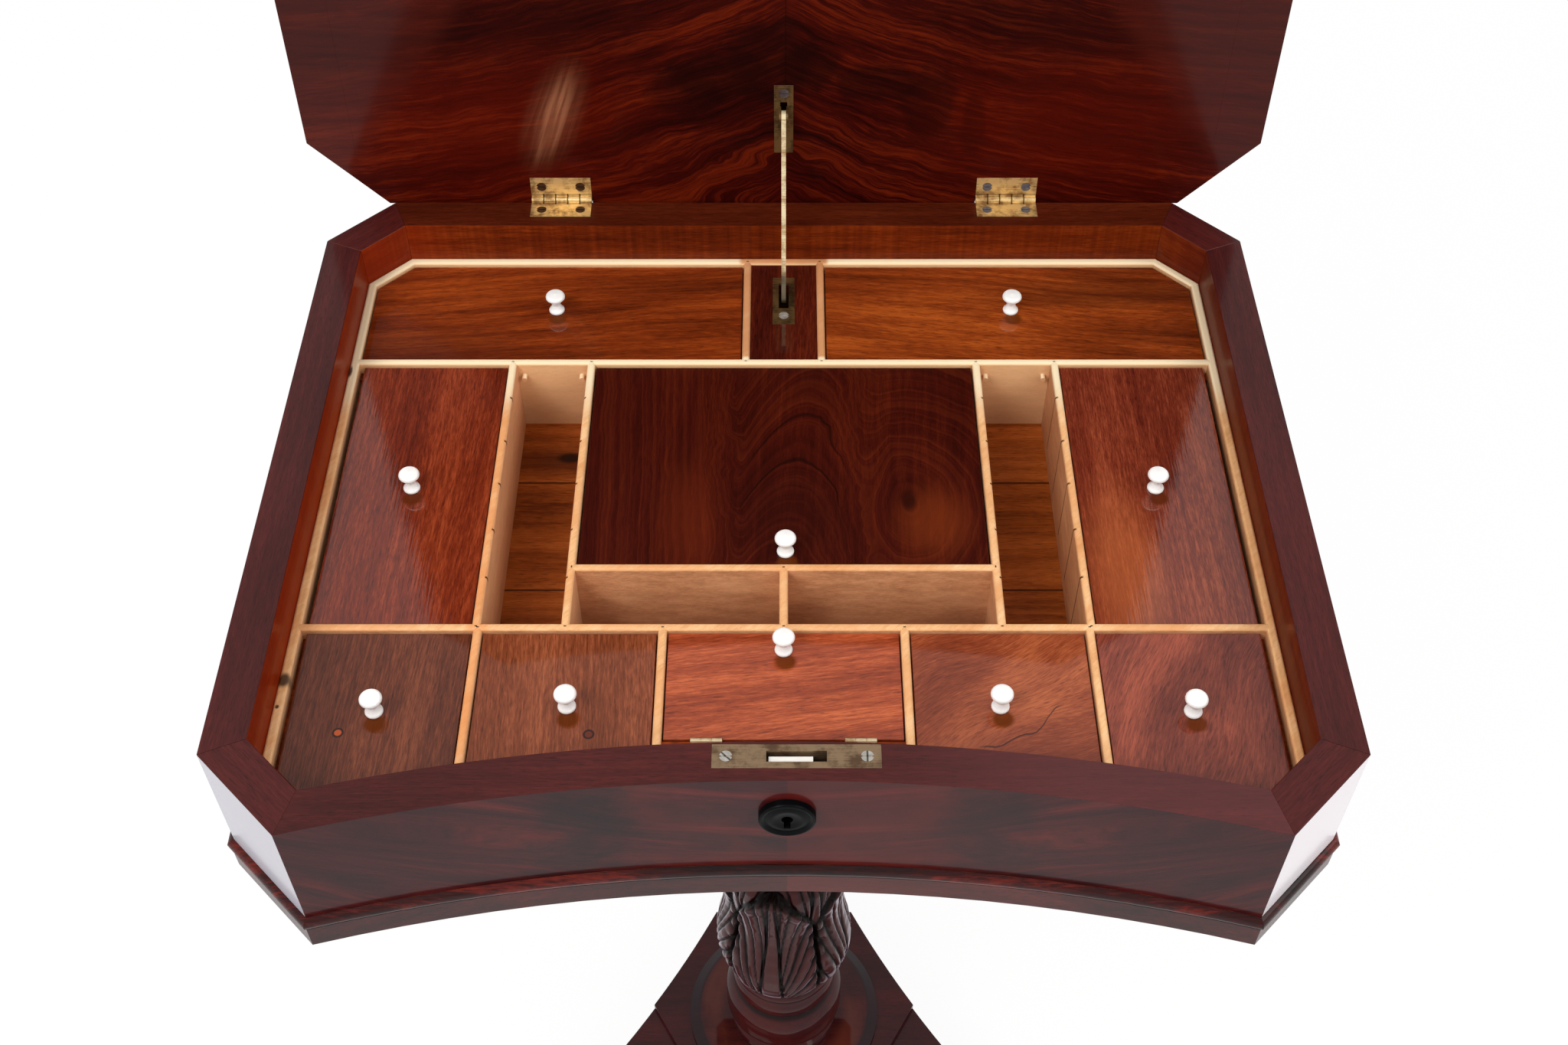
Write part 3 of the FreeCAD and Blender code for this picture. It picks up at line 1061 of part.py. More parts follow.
bulb_stops = [("bulb_foot", 0), ("bulb_radius", 0.25), ("bulb_waist", 0.58), ("bulb_crown", 0.9),
              ("bulb_neck", 1)]


def bulb_shape():
    """The bulb before it is carved: one smooth curve turned about the column's axis."""
    stops = []
    for radius, height_share in bulb_stops:
        stops.append(FreeCAD.Vector(size(radius), 0, BULB_LOW + size("bulb_height") * height_share))
    curve = Part.BSplineCurve()
    curve.interpolate(stops)
    top = FreeCAD.Vector(0, 0, SHAFT_LOW)
    foot = FreeCAD.Vector(0, 0, BULB_LOW)
    edges = [curve.toShape(), Part.makeLine(stops[-1], top), Part.makeLine(top, foot),
             Part.makeLine(foot, stops[0])]
    return Part.Face(Part.Wire(edges)).revolve(FreeCAD.Vector(), FreeCAD.Vector(0, 0, 1), 360)


on_column(feature("CarvedBulb", bulb_shape()), "carved_bulb")
collar_high = size("shaft_collar")
collar_share = 1.12
shaft_points = [(0, SHAFT_LOW), (size("shaft_foot") * collar_share, SHAFT_LOW),
                (size("shaft_foot") * collar_share, SHAFT_LOW + collar_high, collar_high * bevel_share / 2),
                (size("shaft_foot"), SHAFT_LOW + collar_high),
                (size("shaft_top"), CAP_LOW - collar_high, size("shaft_top") * swell_share),
                (size("shaft_top") * collar_share, CAP_LOW - collar_high),
                (size("shaft_top") * collar_share, CAP_LOW, collar_high * bevel_share / 2), (0, CAP_LOW)]
shaft_blank = feature("ShaftBlank", turned(shaft_points))
on_column(fuse("UpperColumn", [shaft_blank, head_tenon]), "upper_column")
cap_r = size("cap_radius")
cap_foot_share = 0.77
cap_round_share = 0.46
cap_points = [(0, CAP_LOW), (cap_r * cap_foot_share, CAP_LOW),
              (cap_r, CAP_LOW + size("cap_height") * cap_round_share, -cap_r * swell_share / 2),
              (cap_r, BLOCK_LOW), (0, BLOCK_LOW)]
on_column(cut("ColumnCap", feature("CapBlank", turned(cap_points)), [head_tenon]), "column_cap")
block_span = ("-block_wide / 2", "block_wide / 2")
block_blank_low = box("SupportBlockBlank", block_span, block_span,
                      (block_foot, "%s + block_high" % block_foot))
on_column(cut("SupportBlock", block_blank_low, [head_tenon]), "support_block")


foot_round_share = 0.1


def bun_feet():
    """Three turned bun feet, one under each arm."""
    neck, wide, high = size("foot_neck"), size("foot_radius"), size("foot_height")
    away = size("base_reach") - size("foot_inset")
    profile = [(0, 0), (neck, 0), (neck, high * (1 - foot_round_share), wide - neck), (neck, high), (0, high)]
    feet = []
    for arm in range(3):
        turn = math.radians(90 + 120 * arm)
        feet.append(turned(profile, away * math.cos(turn), away * math.sin(turn)))
    return Part.makeCompound(feet)


on_column(feature("BunFeet", bun_feet()), "bun_feet")

# Check every piece, then write one file for each sub-part
doc.recompute()
faults = []
for item in doc.Objects:
    if "Invalid" in item.State or "Error" in item.State:
        faults.append("%s %s" % (item.Name, item.State))
for piece in NODES:
    if piece.Shape.isNull() or not piece.Shape.isValid() or not piece.Shape.Solids:
        faults.append("%s has no valid solid" % piece.Label)
if faults:
    raise RuntimeError("; ".join(faults))
os.makedirs("parts", exist_ok=True)
for piece in NODES:
    piece.Shape.exportStep("parts/%s.step" % piece.Label)
    box_of = piece.Shape.BoundBox
    print("%-26s %2d solids  %8.1f cm3  x %.1f..%.1f  y %.1f..%.1f  z %.1f..%.1f" % (
        piece.Label, len(piece.Shape.Solids), piece.Shape.Volume / 1000, box_of.XMin, box_of.XMax,
        box_of.YMin, box_of.YMax, box_of.ZMin, box_of.ZMax))
print(len(NODES), "nodes")
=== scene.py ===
"""Looks of a fitted mahogany work table with an open lid, on a carved pedestal. Metres throughout."""

import math

import bmesh
import bpy
from mathutils import Matrix, Vector


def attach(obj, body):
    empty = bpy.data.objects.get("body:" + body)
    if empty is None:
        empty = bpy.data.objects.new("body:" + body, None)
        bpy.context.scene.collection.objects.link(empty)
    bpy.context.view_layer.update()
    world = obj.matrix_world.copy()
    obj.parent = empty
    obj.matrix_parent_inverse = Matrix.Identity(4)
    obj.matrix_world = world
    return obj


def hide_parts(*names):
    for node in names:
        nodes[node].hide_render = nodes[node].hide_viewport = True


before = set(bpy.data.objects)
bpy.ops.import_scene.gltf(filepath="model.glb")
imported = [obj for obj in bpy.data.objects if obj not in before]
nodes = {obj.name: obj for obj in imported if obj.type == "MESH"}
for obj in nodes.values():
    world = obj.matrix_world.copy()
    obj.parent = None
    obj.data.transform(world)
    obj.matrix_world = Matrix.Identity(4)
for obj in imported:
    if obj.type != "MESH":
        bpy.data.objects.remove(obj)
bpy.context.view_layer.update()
MM = 0.001

# Places that several pieces share
COLUMN_Y = -0.014
CASE_MIDDLE_Y = -0.022
BACK_DIVIDER_Y = 0.0945
MID_DIVIDER_Y = -0.0695
FRONT_DIVIDER_Y = -0.1115
BAYS_BACK_Y = 0.1880
BAYS_FRONT_Y = -0.2120
WELL_OUTER = 0.1668
WELL_INNER = 0.1185
WELL_MIDDLE = (WELL_OUTER + WELL_INNER) / 2.0
WALL_TOP = 0.743
LID_TOP = 0.740
FLOOR_TOP = 0.690
WALL_THICK = 0.0048
SAW_CUT_ROWS = (0.063, 0.027, -0.007, -0.042, -0.077)
LID_SEAM_X = 0.0012
FRONT_SEAM_X = 0.0018
SEAM_HALF = 0.0004
HINGE_X = 0.144
HINGE_AXIS = (0.2167, 0.7703)
KNUCKLE_LONG = 0.0078
ORIGIN = (0.0, 0.0, 0.0)
WHITE = (1.0, 1.0, 1.0, 1.0)


# Camera and lamps

CAMERA_LENS = 41.15
CAMERA_SENSOR = 36.0
CAMERA_PLACE = (0.0002, -0.704, 1.5142)
CAMERA_TILT = 40.85
LAMP_AIM = (0.0, 0.0, 0.7)


def link(thing):
    """Puts an object into the scene."""
    bpy.context.scene.collection.objects.link(thing)
    return thing


def set_up_camera():
    """The photograph's view: in front of the table, above it and looking down."""
    lens = bpy.data.cameras.new("camera")
    lens.lens = CAMERA_LENS
    lens.sensor_width = CAMERA_SENSOR
    camera = link(bpy.data.objects.new("camera", lens))
    camera.location = CAMERA_PLACE
    camera.rotation_euler = (math.radians(CAMERA_TILT), 0.0, 0.0)
    bpy.context.scene.camera = camera


def hang_lamp(name, place, size, power):
    """A soft lamp that points at the table."""
    lamp = bpy.data.lights.new(name, "AREA")
    lamp.shape = "RECTANGLE"
    lamp.size, lamp.size_y = size
    lamp.energy = power
    thing = link(bpy.data.objects.new(name, lamp))
    thing.location = place
    thing.rotation_euler = (Vector(LAMP_AIM) - Vector(place)).to_track_quat("-Z", "Y").to_euler()


# Finishes

def tone(red, green, blue):
    """A colour given as 0-255 values, made linear."""
    def linear(level):
        share = level / 255.0
        return share / 12.92 if share <= 0.04045 else ((share + 0.055) / 1.055) ** 2.4
    return (linear(red), linear(green), linear(blue), 1.0)


class Value:
    """A number, colour or place running through a finish; sums on a number add Math nodes."""

    def __init__(self, finish, socket):
        self.finish = finish
        self.socket = socket

    def __add__(self, other):
        return self.finish.maths("ADD", self, other)

    def __radd__(self, other):
        return self.finish.maths("ADD", other, self)

    def __sub__(self, other):
        return self.finish.maths("SUBTRACT", self, other)

    def __rsub__(self, other):
        return self.finish.maths("SUBTRACT", other, self)

    def __mul__(self, other):
        return self.finish.maths("MULTIPLY", self, other)

    def __rmul__(self, other):
        return self.finish.maths("MULTIPLY", other, self)

    def __abs__(self):
        return self.finish.maths("ABSOLUTE", self)


class Finish:
    """A material of one shader, or the nodes of the world."""

    def __init__(self, name, world=False):
        kind = bpy.data.worlds if world else bpy.data.materials
        self.material = kind.new(name)
        self.material.use_nodes = True
        self.tree = self.material.node_tree
        self.tree.nodes.clear()

    def find(self, sockets, name):
        """A socket by its number, its identifier or its name."""
        if isinstance(name, int):
            return sockets[name]
        for socket in sockets:
            if name in (socket.identifier, socket.name):
                return socket
        raise KeyError(name)

    def node(self, kind, settings=None, sockets=None, result=0):
        """Adds a node, sets it, fills its sockets and gives one of its results."""
        node = self.tree.nodes.new(kind)
        for name, value in (settings or {}).items():
            if name == "stops":
                self.set_stops(node.color_ramp, value)
            else:
                setattr(node, name, value)
        for name, value in (sockets or {}).items():
            socket = self.find(node.inputs, name)
            if isinstance(value, Value):
                self.tree.links.new(value.socket, socket)
            else:
                socket.default_value = value
        if not node.outputs:
            return None
        return Value(self, self.find(node.outputs, result))

    def set_stops(self, ramp, stops):
        """Gives a ramp its places and colours."""
        while len(ramp.elements) < len(stops):
            ramp.elements.new(1.0)
        for element, (place, colour) in zip(ramp.elements, stops):
            element.position = place
            element.color = colour

    def maths(self, operation, first, second=0.0):
        """A sum on numbers."""
        return self.node("ShaderNodeMath", {"operation": operation}, {0: first, 1: second})

    def vectors(self, operation, first, second, third=None):
        """A sum on places."""
        sockets = {0: first, 1: second}
        if third is not None:
            sockets[2] = third
        return self.node("ShaderNodeVectorMath", {"operation": operation}, sockets, "Vector")

    def distance(self, first, second):
        """How far apart two places are."""
        return self.node("ShaderNodeVectorMath", {"operation": "DISTANCE"}, {0: first, 1: second}, "Value")

    def place(self):
        """Where a point of the surface is, in metres."""
        return self.node("ShaderNodeTexCoord", None, None, "Object")

    def parts(self, vector):
        """The X, Y and Z of a place."""
        return [self.node("ShaderNodeSeparateXYZ", None, {0: vector}, axis) for axis in "XYZ"]

    def joined(self, x, y, z):
        """A place from its X, Y and Z."""
        return self.node("ShaderNodeCombineXYZ", None, {0: x, 1: y, 2: z})

    def facing(self):
        """The three parts of the surface's own direction."""
        return self.parts(self.node("ShaderNodeTexCoord", None, None, "Normal"))

    def low_angle(self):
        """0 where the surface is seen straight on, 1 where it is seen edge on."""
        return self.node("ShaderNodeLayerWeight", None, {"Blend": 0.5}, "Facing")

    def turned(self, vector, turn):
        """The place as the grain sees it: X along it, Y across it, after a turn in degrees."""
        angles = tuple(math.radians(angle) for angle in turn)
        sockets = {"Vector": vector, "Rotation": angles}
        return self.node("ShaderNodeMapping", {"vector_type": "TEXTURE"}, sockets)

    def cloud(self, vector, size, offset=0.0, detail=2.0, rough=0.5):
        """Noise whose patches have the given sizes along, across and through."""
        share = tuple(1.0 / length for length in size)
        shift = (offset, offset * 1.7, offset * 0.6)
        stretched = self.vectors("MULTIPLY_ADD", vector, share, shift)
        sockets = {"Vector": stretched, "Scale": 1.0, "Detail": detail, "Roughness": rough}
        return self.node("ShaderNodeTexNoise", None, sockets, 0)

    def rise(self, value, low, high):
        """A smooth step from 0 at low to 1 at high."""
        sockets = {"Value": value, "From Min": low, "From Max": high}
        return self.node("ShaderNodeMapRange", {"interpolation_type": "SMOOTHSTEP"}, sockets)

    def band(self, value, low, high, soft):
        """1 between low and high, 0 outside them, with soft ends."""
        return self.rise(value, low - soft, low + soft) * self.rise(value, high + soft, high - soft)

    def graded(self, value, tones, spread=0.2):
        """Dark, middle and light tones, the outer two this far from a value of a half."""
        dark, middle, light = tones
        stops = [(0.5 - spread, dark), (0.5, middle), (0.5 + spread, light)]
        return self.node("ShaderNodeValToRGB", {"stops": stops}, {0: value})

    def mix(self, share, first, second):
        """The first colour where the share is 0, the second where it is 1."""
        sockets = {"Factor_Float": share, "A_Color": first, "B_Color": second}
        return self.node("ShaderNodeMix", {"data_type": "RGBA"}, sockets, "Result_Color")

    def reach(self, place, spot, size):
        """How far a place is from a spot, counted in the half lengths of a patch about it."""
        near = self.vectors("SUBTRACT", place, spot)
        scaled = self.vectors("DIVIDE", near, size)
        return self.distance(scaled, ORIGIN)

    def mark(self, place, spot, size, soft=0.4):
        """1 in a small patch about a spot, 0 away from it; size is its half lengths."""
        return self.rise(self.reach(place, spot, size), 1.0 + soft, 1.0 - soft)

    def bump(self, height, depth):
        """The surface's direction over fine relief of so many metres."""
        return self.node("ShaderNodeBump", None, {"Height": height, "Distance": depth}, "Normal")

    def shade(self, **sockets):
        """The shader and the output; names of sockets use _ for a space."""
        named = {name.replace("_", " "): value for name, value in sockets.items()}
        shader = self.node("ShaderNodeBsdfPrincipled", None, named)
        self.node("ShaderNodeOutputMaterial", None, {"Surface": shader})
        return self.material


GROUND_ROUGHNESS = 0.45
GROUND_GLOSS = 0.05
GRAIN_DEPTH = 0.00002
# Where the painted reflection of a knob sits in front of it, and its half lengths
KNOB_REFLECTION_SHIFT = (0.001, -0.0075)
KNOB_REFLECTION_SIZE = (0.0056, 0.0052, 1.0)


def timber(finish, grain, tones, seed=0.0, long=0.16, broad=0.030, streak=0.0045, shares=(0.45, 0.45, 0.35),
           bend=0.010, pores=0.5):
    """Colour, height and figure of a plank: broad figure, streaks and flecks drawn out along the grain."""
    sway = finish.cloud(grain, (long * 1.4, broad * 2.0, broad * 2.0), seed + 3.1, 1.0)
    swayed = finish.vectors("MULTIPLY_ADD", sway, (0.0, bend, 0.0), grain)
    figure = finish.cloud(swayed, (long, broad, broad), seed, 3.0)
    streaks = finish.cloud(swayed, (long * 0.6, streak, streak), seed + 7.3, 4.0, 0.6)
    flecks = finish.cloud(swayed, (0.009, 0.0010, 0.0010), seed + 1.9, 3.0, 0.7)
    broad_share, streak_share, fleck_share = shares
    value = 0.5 + (figure - 0.5) * (2.0 * broad_share) + (streaks - 0.5) * (2.0 * streak_share)
    value = value + (flecks - 0.5) * (2.0 * fleck_share)
    colour = finish.graded(value, tones, 0.3)
    dashes = finish.cloud(swayed, (0.007, 0.0006, 0.0006), seed + 5.7, 1.0)
    pore = finish.rise(dashes, 0.58, 0.72)
    dark = tones[0]
    pore_tone = tuple(level * 0.45 for level in dark[:3]) + (1.0,)
    return finish.mix(pore * pores, colour, pore_tone), flecks * 0.3 - pore, value


def polished(finish, colour, height, coat, coat_rough):
    """A polished wood: the coat's gloss over a duller ground."""
    return finish.shade(Base_Color=colour, Roughness=GROUND_ROUGHNESS, Specular_IOR_Level=GROUND_GLOSS,
                        Coat_Weight=coat, Coat_Roughness=coat_rough, Normal=finish.bump(height, GRAIN_DEPTH))


def lacquered(finish, colour, relief, spot, shine):
    """A thick gloss that follows the grain, with a painted reflection of the knob in front of it: a dull
    brown spot.
    """
    normal = finish.bump(relief, 0.00003)
    glossy = finish.node("ShaderNodeBsdfPrincipled", None, {"Base Color": colour, "Roughness": 0.05,
                                                            "Specular IOR Level": shine, "Normal": normal})
    dull = finish.node("ShaderNodeBsdfPrincipled", None, {"Base Color": tone(88, 34, 8), "Roughness": 0.9,
                                                          "Specular IOR Level": GROUND_GLOSS})
    # The painted reflection of the knob: a dull brown shader mixed in at the spot.
    both = finish.node("ShaderNodeMixShader", None, {0: spot * 0.92, 1: glossy, 2: dull})
    finish.node("ShaderNodeOutputMaterial", None, {"Surface": both})
    return finish.material


def plank(name, tones, turn=0.0, seed=0.0, coat=1.0, extra=None, knob=None, lacquer=None, **figure):
    """A flat board seen from above, its grain turned by so many degrees from left-to-right.

    Extra is a function that adds the board's own marks. Just in front of a knob the gloss gets a brown spot,
    a painted reflection of the knob. Lacquer is the strength of a thick gloss.
    """
    finish = Finish(name)
    place = finish.place()
    grain = finish.turned(place, (0.0, 0.0, turn))
    colour, height, _ = timber(finish, grain, tones, seed, **figure)
    if extra is not None:
        colour = extra(finish, place, colour)
    spot = 0.0
    # Painted reflection: the spot where the knob is mirrored in the gloss.
    if knob is not None:
        flat = finish.vectors("MULTIPLY", place, (1.0, 1.0, 0.0))
        knob_reflection_place = (knob[0] + KNOB_REFLECTION_SHIFT[0], knob[1] + KNOB_REFLECTION_SHIFT[1], 0.0)
        spot = finish.mark(flat, knob_reflection_place, KNOB_REFLECTION_SIZE, 0.3)
    if lacquer is not None:
        ripple = finish.cloud(grain, (0.05, 0.0016, 0.0016), seed + 4.0, 2.0)
        return lacquered(finish, colour, ripple + height * 0.1, spot, lacquer)
    if knob is not None:
        colour = finish.mix(spot * 0.85, colour, tone(92, 40, 6))
        coat = coat * (1.0 - spot * 0.9)
    return polished(finish, colour, height, coat, 0.04)


# Case rails: the rim, the outer veneer and the inner face each have their own tones

RIM_TONES = (tone(50, 13, 11), tone(69, 21, 18), tone(88, 30, 26))
BACK_RIM_TONES = (tone(56, 15, 5), tone(76, 24, 8), tone(98, 36, 14))
VENEER_TONES = (tone(32, 8, 11), tone(60, 13, 15), tone(94, 28, 24))
INNER_TONES = (tone(76, 23, 4), tone(110, 37, 7), tone(142, 58, 14))


def rail_wood(name, turn, mirrored=False, seed=0.0, painted_sheen=0.0, rim_tones=RIM_TONES, rim_coat=0.55):
    """Rails and corner posts: rim, outer veneer and inner face; a painted sheen pales the outside at a low
    angle.
    """
    finish = Finish(name)
    place = finish.place()
    x, y, z = finish.parts(place)
    nx, ny, nz = finish.facing()
    inner_y = y - CASE_MIDDLE_Y
    if mirrored:
        place = finish.joined(abs(x), abs(inner_y), z)
    grain = finish.turned(place, (0.0, 0.0, turn))
    top, height, value = timber(finish, grain, rim_tones, seed, shares=(0.3, 0.3, 0.35))
    outer = finish.graded(value, VENEER_TONES)
    # Painted reflection: the outer veneer paled at a low angle, whiter and stronger on the right.
    if painted_sheen > 0.0:
        right = finish.rise(x, -0.1, 0.1)
        share = finish.rise(finish.low_angle(), 0.66, 0.86) * (right * 0.18 + (painted_sheen - 0.18))
        outer = finish.mix(share, outer, finish.mix(right, tone(204, 203, 213), tone(246, 238, 242)))
    ribbons = finish.cloud(finish.joined(x + y * 0.6, y, z * 0.04), (0.0035, 0.05, 0.05), 2.0, 2.0)
    inner = finish.graded(value * 0.7 + ribbons * 0.3, INNER_TONES)
    inner = finish.mix(finish.rise(x, -0.20, -0.27) * 0.45, inner, tone(168, 44, 8))
    inner = finish.mix(finish.rise(x, 0.24, 0.28) * 0.65, inner, tone(78, 20, 17))
    inwards = finish.rise(0.0 - (nx * x + ny * inner_y), -0.02, 0.02)
    upwards = finish.rise(nz, 0.4, 0.7)
    colour = finish.mix(upwards, finish.mix(inwards, outer, inner), top)
    coat = 0.55 - inwards * (1.0 - upwards) * 0.40 - upwards * (0.55 - rim_coat)
    return polished(finish, colour, height, coat, 0.14)


def right_of_seam(finish, x):
    """1 just right of the front veneer's seam, fading to 0 along the front."""
    return finish.rise(x, FRONT_SEAM_X - SEAM_HALF, FRONT_SEAM_X + SEAM_HALF) * finish.rise(x, 0.16, 0.0)


def front_veneer(finish, x, y, z):
    """Arcs matched about the seam, with a smoky patch and a redder one on each side; redder at its right."""
    apart = abs(x - FRONT_SEAM_X)
    fall = apart * apart * 1.6
    arched = finish.joined(apart * 0.8, z - fall + y * 0.1, y * 0.2)
    veneer = timber(finish, arched, VENEER_TONES, 9.0, long=0.10, broad=0.022, streak=0.006, bend=0.06,
                    shares=(0.55, 0.35, 0.2), pores=0.3)[0]
    billow = finish.cloud(finish.joined(apart, z * 0.8, y * 0.3), (0.05, 0.030, 0.03), 3.0, 4.0, 0.62)
    above_middle = z - 0.73
    smoke = finish.band(apart + (billow - 0.5) * 0.16 + above_middle * 0.35, 0.080, 0.118, 0.024)
    veneer = finish.mix(smoke * 0.65, veneer, tone(20, 14, 16))
    flare = finish.band(apart + (billow - 0.5) * 0.12 - above_middle * 0.6, 0.040, 0.058, 0.018)
    veneer = finish.mix(flare * 0.3, veneer, tone(98, 34, 24))
    return finish.mix(right_of_seam(finish, x) * 0.38, veneer, tone(88, 22, 16))


def front_wood():
    """The hollow front: book-matched veneer outside, and the lock rail's rim."""
    finish = Finish("front_rail_wood")
    place = finish.place()
    x, y, z = finish.parts(place)
    _, ny, nz = finish.facing()
    top, height, value = timber(finish, place, RIM_TONES, 4.0, shares=(0.3, 0.3, 0.35))
    # Painted reflection: the rim's top paler and greyer towards the right.
    top = finish.mix(finish.rise(x, 0.02, 0.16) * 0.22, top, tone(126, 76, 78))
    inwards = finish.rise(ny, -0.3, 0.3)
    sides = finish.mix(inwards, front_veneer(finish, x, y, z), finish.graded(value, INNER_TONES, 0.3))
    upwards = finish.rise(nz, 0.4, 0.7)
    coat = 0.36 + upwards * 0.20 - inwards * (1.0 - upwards) * 0.22
    return polished(finish, finish.mix(upwards, sides, top), height, coat, 0.12)


def moulding_wood():
    """The base moulding: the hollow front's veneer carried down, and a dark red bead above it."""
    finish = Finish("moulding_wood")
    x, y, z = finish.parts(finish.place())
    tones = (tone(34, 10, 8), tone(64, 18, 14), tone(94, 31, 23))
    bead_tones = (tone(22, 2, 2), tone(52, 7, 5), tone(112, 26, 10))
    colour, height, value = timber(finish, finish.joined(x, z * 0.5, y), tones, 5.0, shares=(0.5, 0.3, 0.25))
    on_bead = finish.rise(z, 0.6815, 0.6825)
    colour = finish.mix(on_bead, colour, finish.graded(value, bead_tones))
    colour = finish.mix(right_of_seam(finish, x) * (1.0 - on_bead) * 0.4, colour, tone(104, 34, 26))
    return polished(finish, colour, height, 0.47, 0.12)


# Main lid: book-matched flame veneer with a seam in the middle

LID_TONES = (tone(26, 1, 0), tone(60, 7, 2), tone(102, 27, 5))
# Tones of the painted reflection on the lid's ends
END_REFLECTION_TONES = (tone(60, 15, 9), tone(74, 20, 11), tone(88, 27, 14))
# Where the lid's painted highlight sits, and how far it leans in degrees
PAINTED_HIGHLIGHT_SPOT = (-0.1440 - LID_SEAM_X, 0.0, 0.8315)
PAINTED_HIGHLIGHT_LEAN = 21.0
# Each dark cloud beside the seam: its middle, its half lengths and its depth
LID_CLOUDS = [((-0.010, 0.871), (0.030, 0.026), 0.62), ((-0.038, 0.861), (0.030, 0.018), 0.55),
              ((-0.064, 0.850), (0.026, 0.017), 0.52), ((0.014, 0.868), (0.018, 0.018), 0.66),
              ((0.060, 0.856), (0.028, 0.012), 0.62), ((0.088, 0.843), (0.018, 0.024), 0.60),
              ((0.118, 0.828), (0.008, 0.024), 0.5), ((-0.030, 0.838), (0.040, 0.016), 0.30)]


def lid_fall(finish, apart):
    """How far the grain has dropped at a distance from the seam: 0 at it, near 1 far away."""
    return 1.0 - finish.maths("EXPONENT", apart * (-1.0 / 0.16))


def lid_clouds(finish, side, z, colour):
    """Dark clouds with ragged edges beside the seam, and a dark veil above them."""
    billow = finish.cloud(finish.joined(side, z, 0.0), (0.022, 0.020, 0.5), 9.0, 4.0, 0.62) - 0.5
    edge = billow * 1.2
    face = finish.joined(side, 0.0, z)
    for (spot_x, spot_z), (half_x, half_z), depth in LID_CLOUDS:
        reach = finish.reach(face, (spot_x, 0.0, spot_z), (half_x, 1.0, half_z)) + edge
        colour = finish.mix(finish.rise(reach, 1.25, 0.75) * depth, colour, tone(22, 2, 1))
    apart = abs(side)
    veil = finish.band(z + lid_fall(finish, apart) * 0.10 + billow * 0.05, 0.935, 0.985, 0.02)
    return finish.mix(veil * finish.rise(apart, 0.06, 0.12) * 0.55, colour, tone(28, 2, 1))


def lid_painted_highlight(finish, side, z, colour):
    """A painted highlight: the pale leaning streak left of the seam, broken up by fine lines."""
    shine = finish.vectors("SUBTRACT", finish.joined(side, 0.0, z), PAINTED_HIGHLIGHT_SPOT)
    across, _, along = finish.parts(finish.turned(shine, (0.0, PAINTED_HIGHLIGHT_LEAN, 0.0)))
    lean = finish.joined(across, 0.0, along)
    lines = finish.rise(finish.cloud(lean, (0.0034, 1.0, 0.06), 3.0, 2.0), 0.35, 0.62)
    core = finish.mark(lean, ORIGIN, (0.0065, 1.0, 0.025), 0.7)
    halo = finish.mark(lean, ORIGIN, (0.013, 1.0, 0.032), 0.7)
    share = halo * (lines * 0.10 + 0.08) + core * (lines * 0.24 + 0.18)
    return finish.mix(share, colour, tone(188, 124, 88))


def lid_wood():
    """Flame veneer matched about a seam; its clouds, its painted highlight and the painted reflection that
    pales its ends are on the inner face alone.
    """
    finish = Finish("lid_flame_veneer")
    x, _, z = finish.parts(finish.place())
    side = x - LID_SEAM_X
    apart = abs(side)
    near_seam = finish.rise(apart, 0.15, 0.02)
    below_cloud = finish.rise(z, 0.85, 0.80)
    warp = finish.cloud(finish.joined(side, z, 0.0), (0.07, 0.05, 0.5), 6.0, 3.0) - 0.5
    across = z + lid_fall(finish, apart) * 0.092 + warp * (0.018 + near_seam * below_cloud * 0.035)
    grain = finish.joined(apart * 0.7, across, side * 0.05)
    outer_face, height, _ = timber(finish, grain, LID_TONES, 2.0, long=0.26, broad=0.022, streak=0.0032,
                                   bend=0.01, shares=(0.5, 0.5, 0.3), pores=0.2)
    colour = lid_clouds(finish, side, z, outer_face)
    matched = finish.joined(apart, 0.0, z + warp * 0.03)
    glow = finish.mark(matched, (0.185, 0.0, 0.825), (0.085, 1.0, 0.045), 0.7)
    colour = finish.mix(glow * 0.26, colour, tone(110, 20, 1))
    high = finish.rise(z, 0.92, 1.02)
    # Painted reflection: a paler, greyer wash over the inner face's ends, fading out high up, with bands in
    # its tone.
    painted_end_reflection = finish.rise(apart + (z - 0.80) * 0.70, 0.262, 0.282) * (1.0 - high)
    reflection_bands = finish.cloud(finish.joined(0.0, 0.0, z + side * 0.05), (0.5, 0.5, 0.008), 4.0, 3.0, 0.55)
    colour = finish.mix(painted_end_reflection * 0.5, colour, finish.graded(reflection_bands, END_REFLECTION_TONES))
    colour = lid_painted_highlight(finish, side, z, colour)
    colour = finish.mix(finish.rise(apart, 0.0006, 0.0001) * 0.6, colour, tone(20, 2, 1))
    inside = finish.rise(finish.facing()[1], 0.2, -0.2)
    coat = inside * (0.06 + painted_end_reflection * 0.17 + high * 0.2) + (1.0 - inside) * 0.45
    return polished(finish, finish.mix(inside, outer_face, colour), height, coat, 0.12)


# Loose lids of the bays

ORANGE_TONES = (tone(76, 25, 5), tone(120, 45, 11), tone(162, 70, 20))


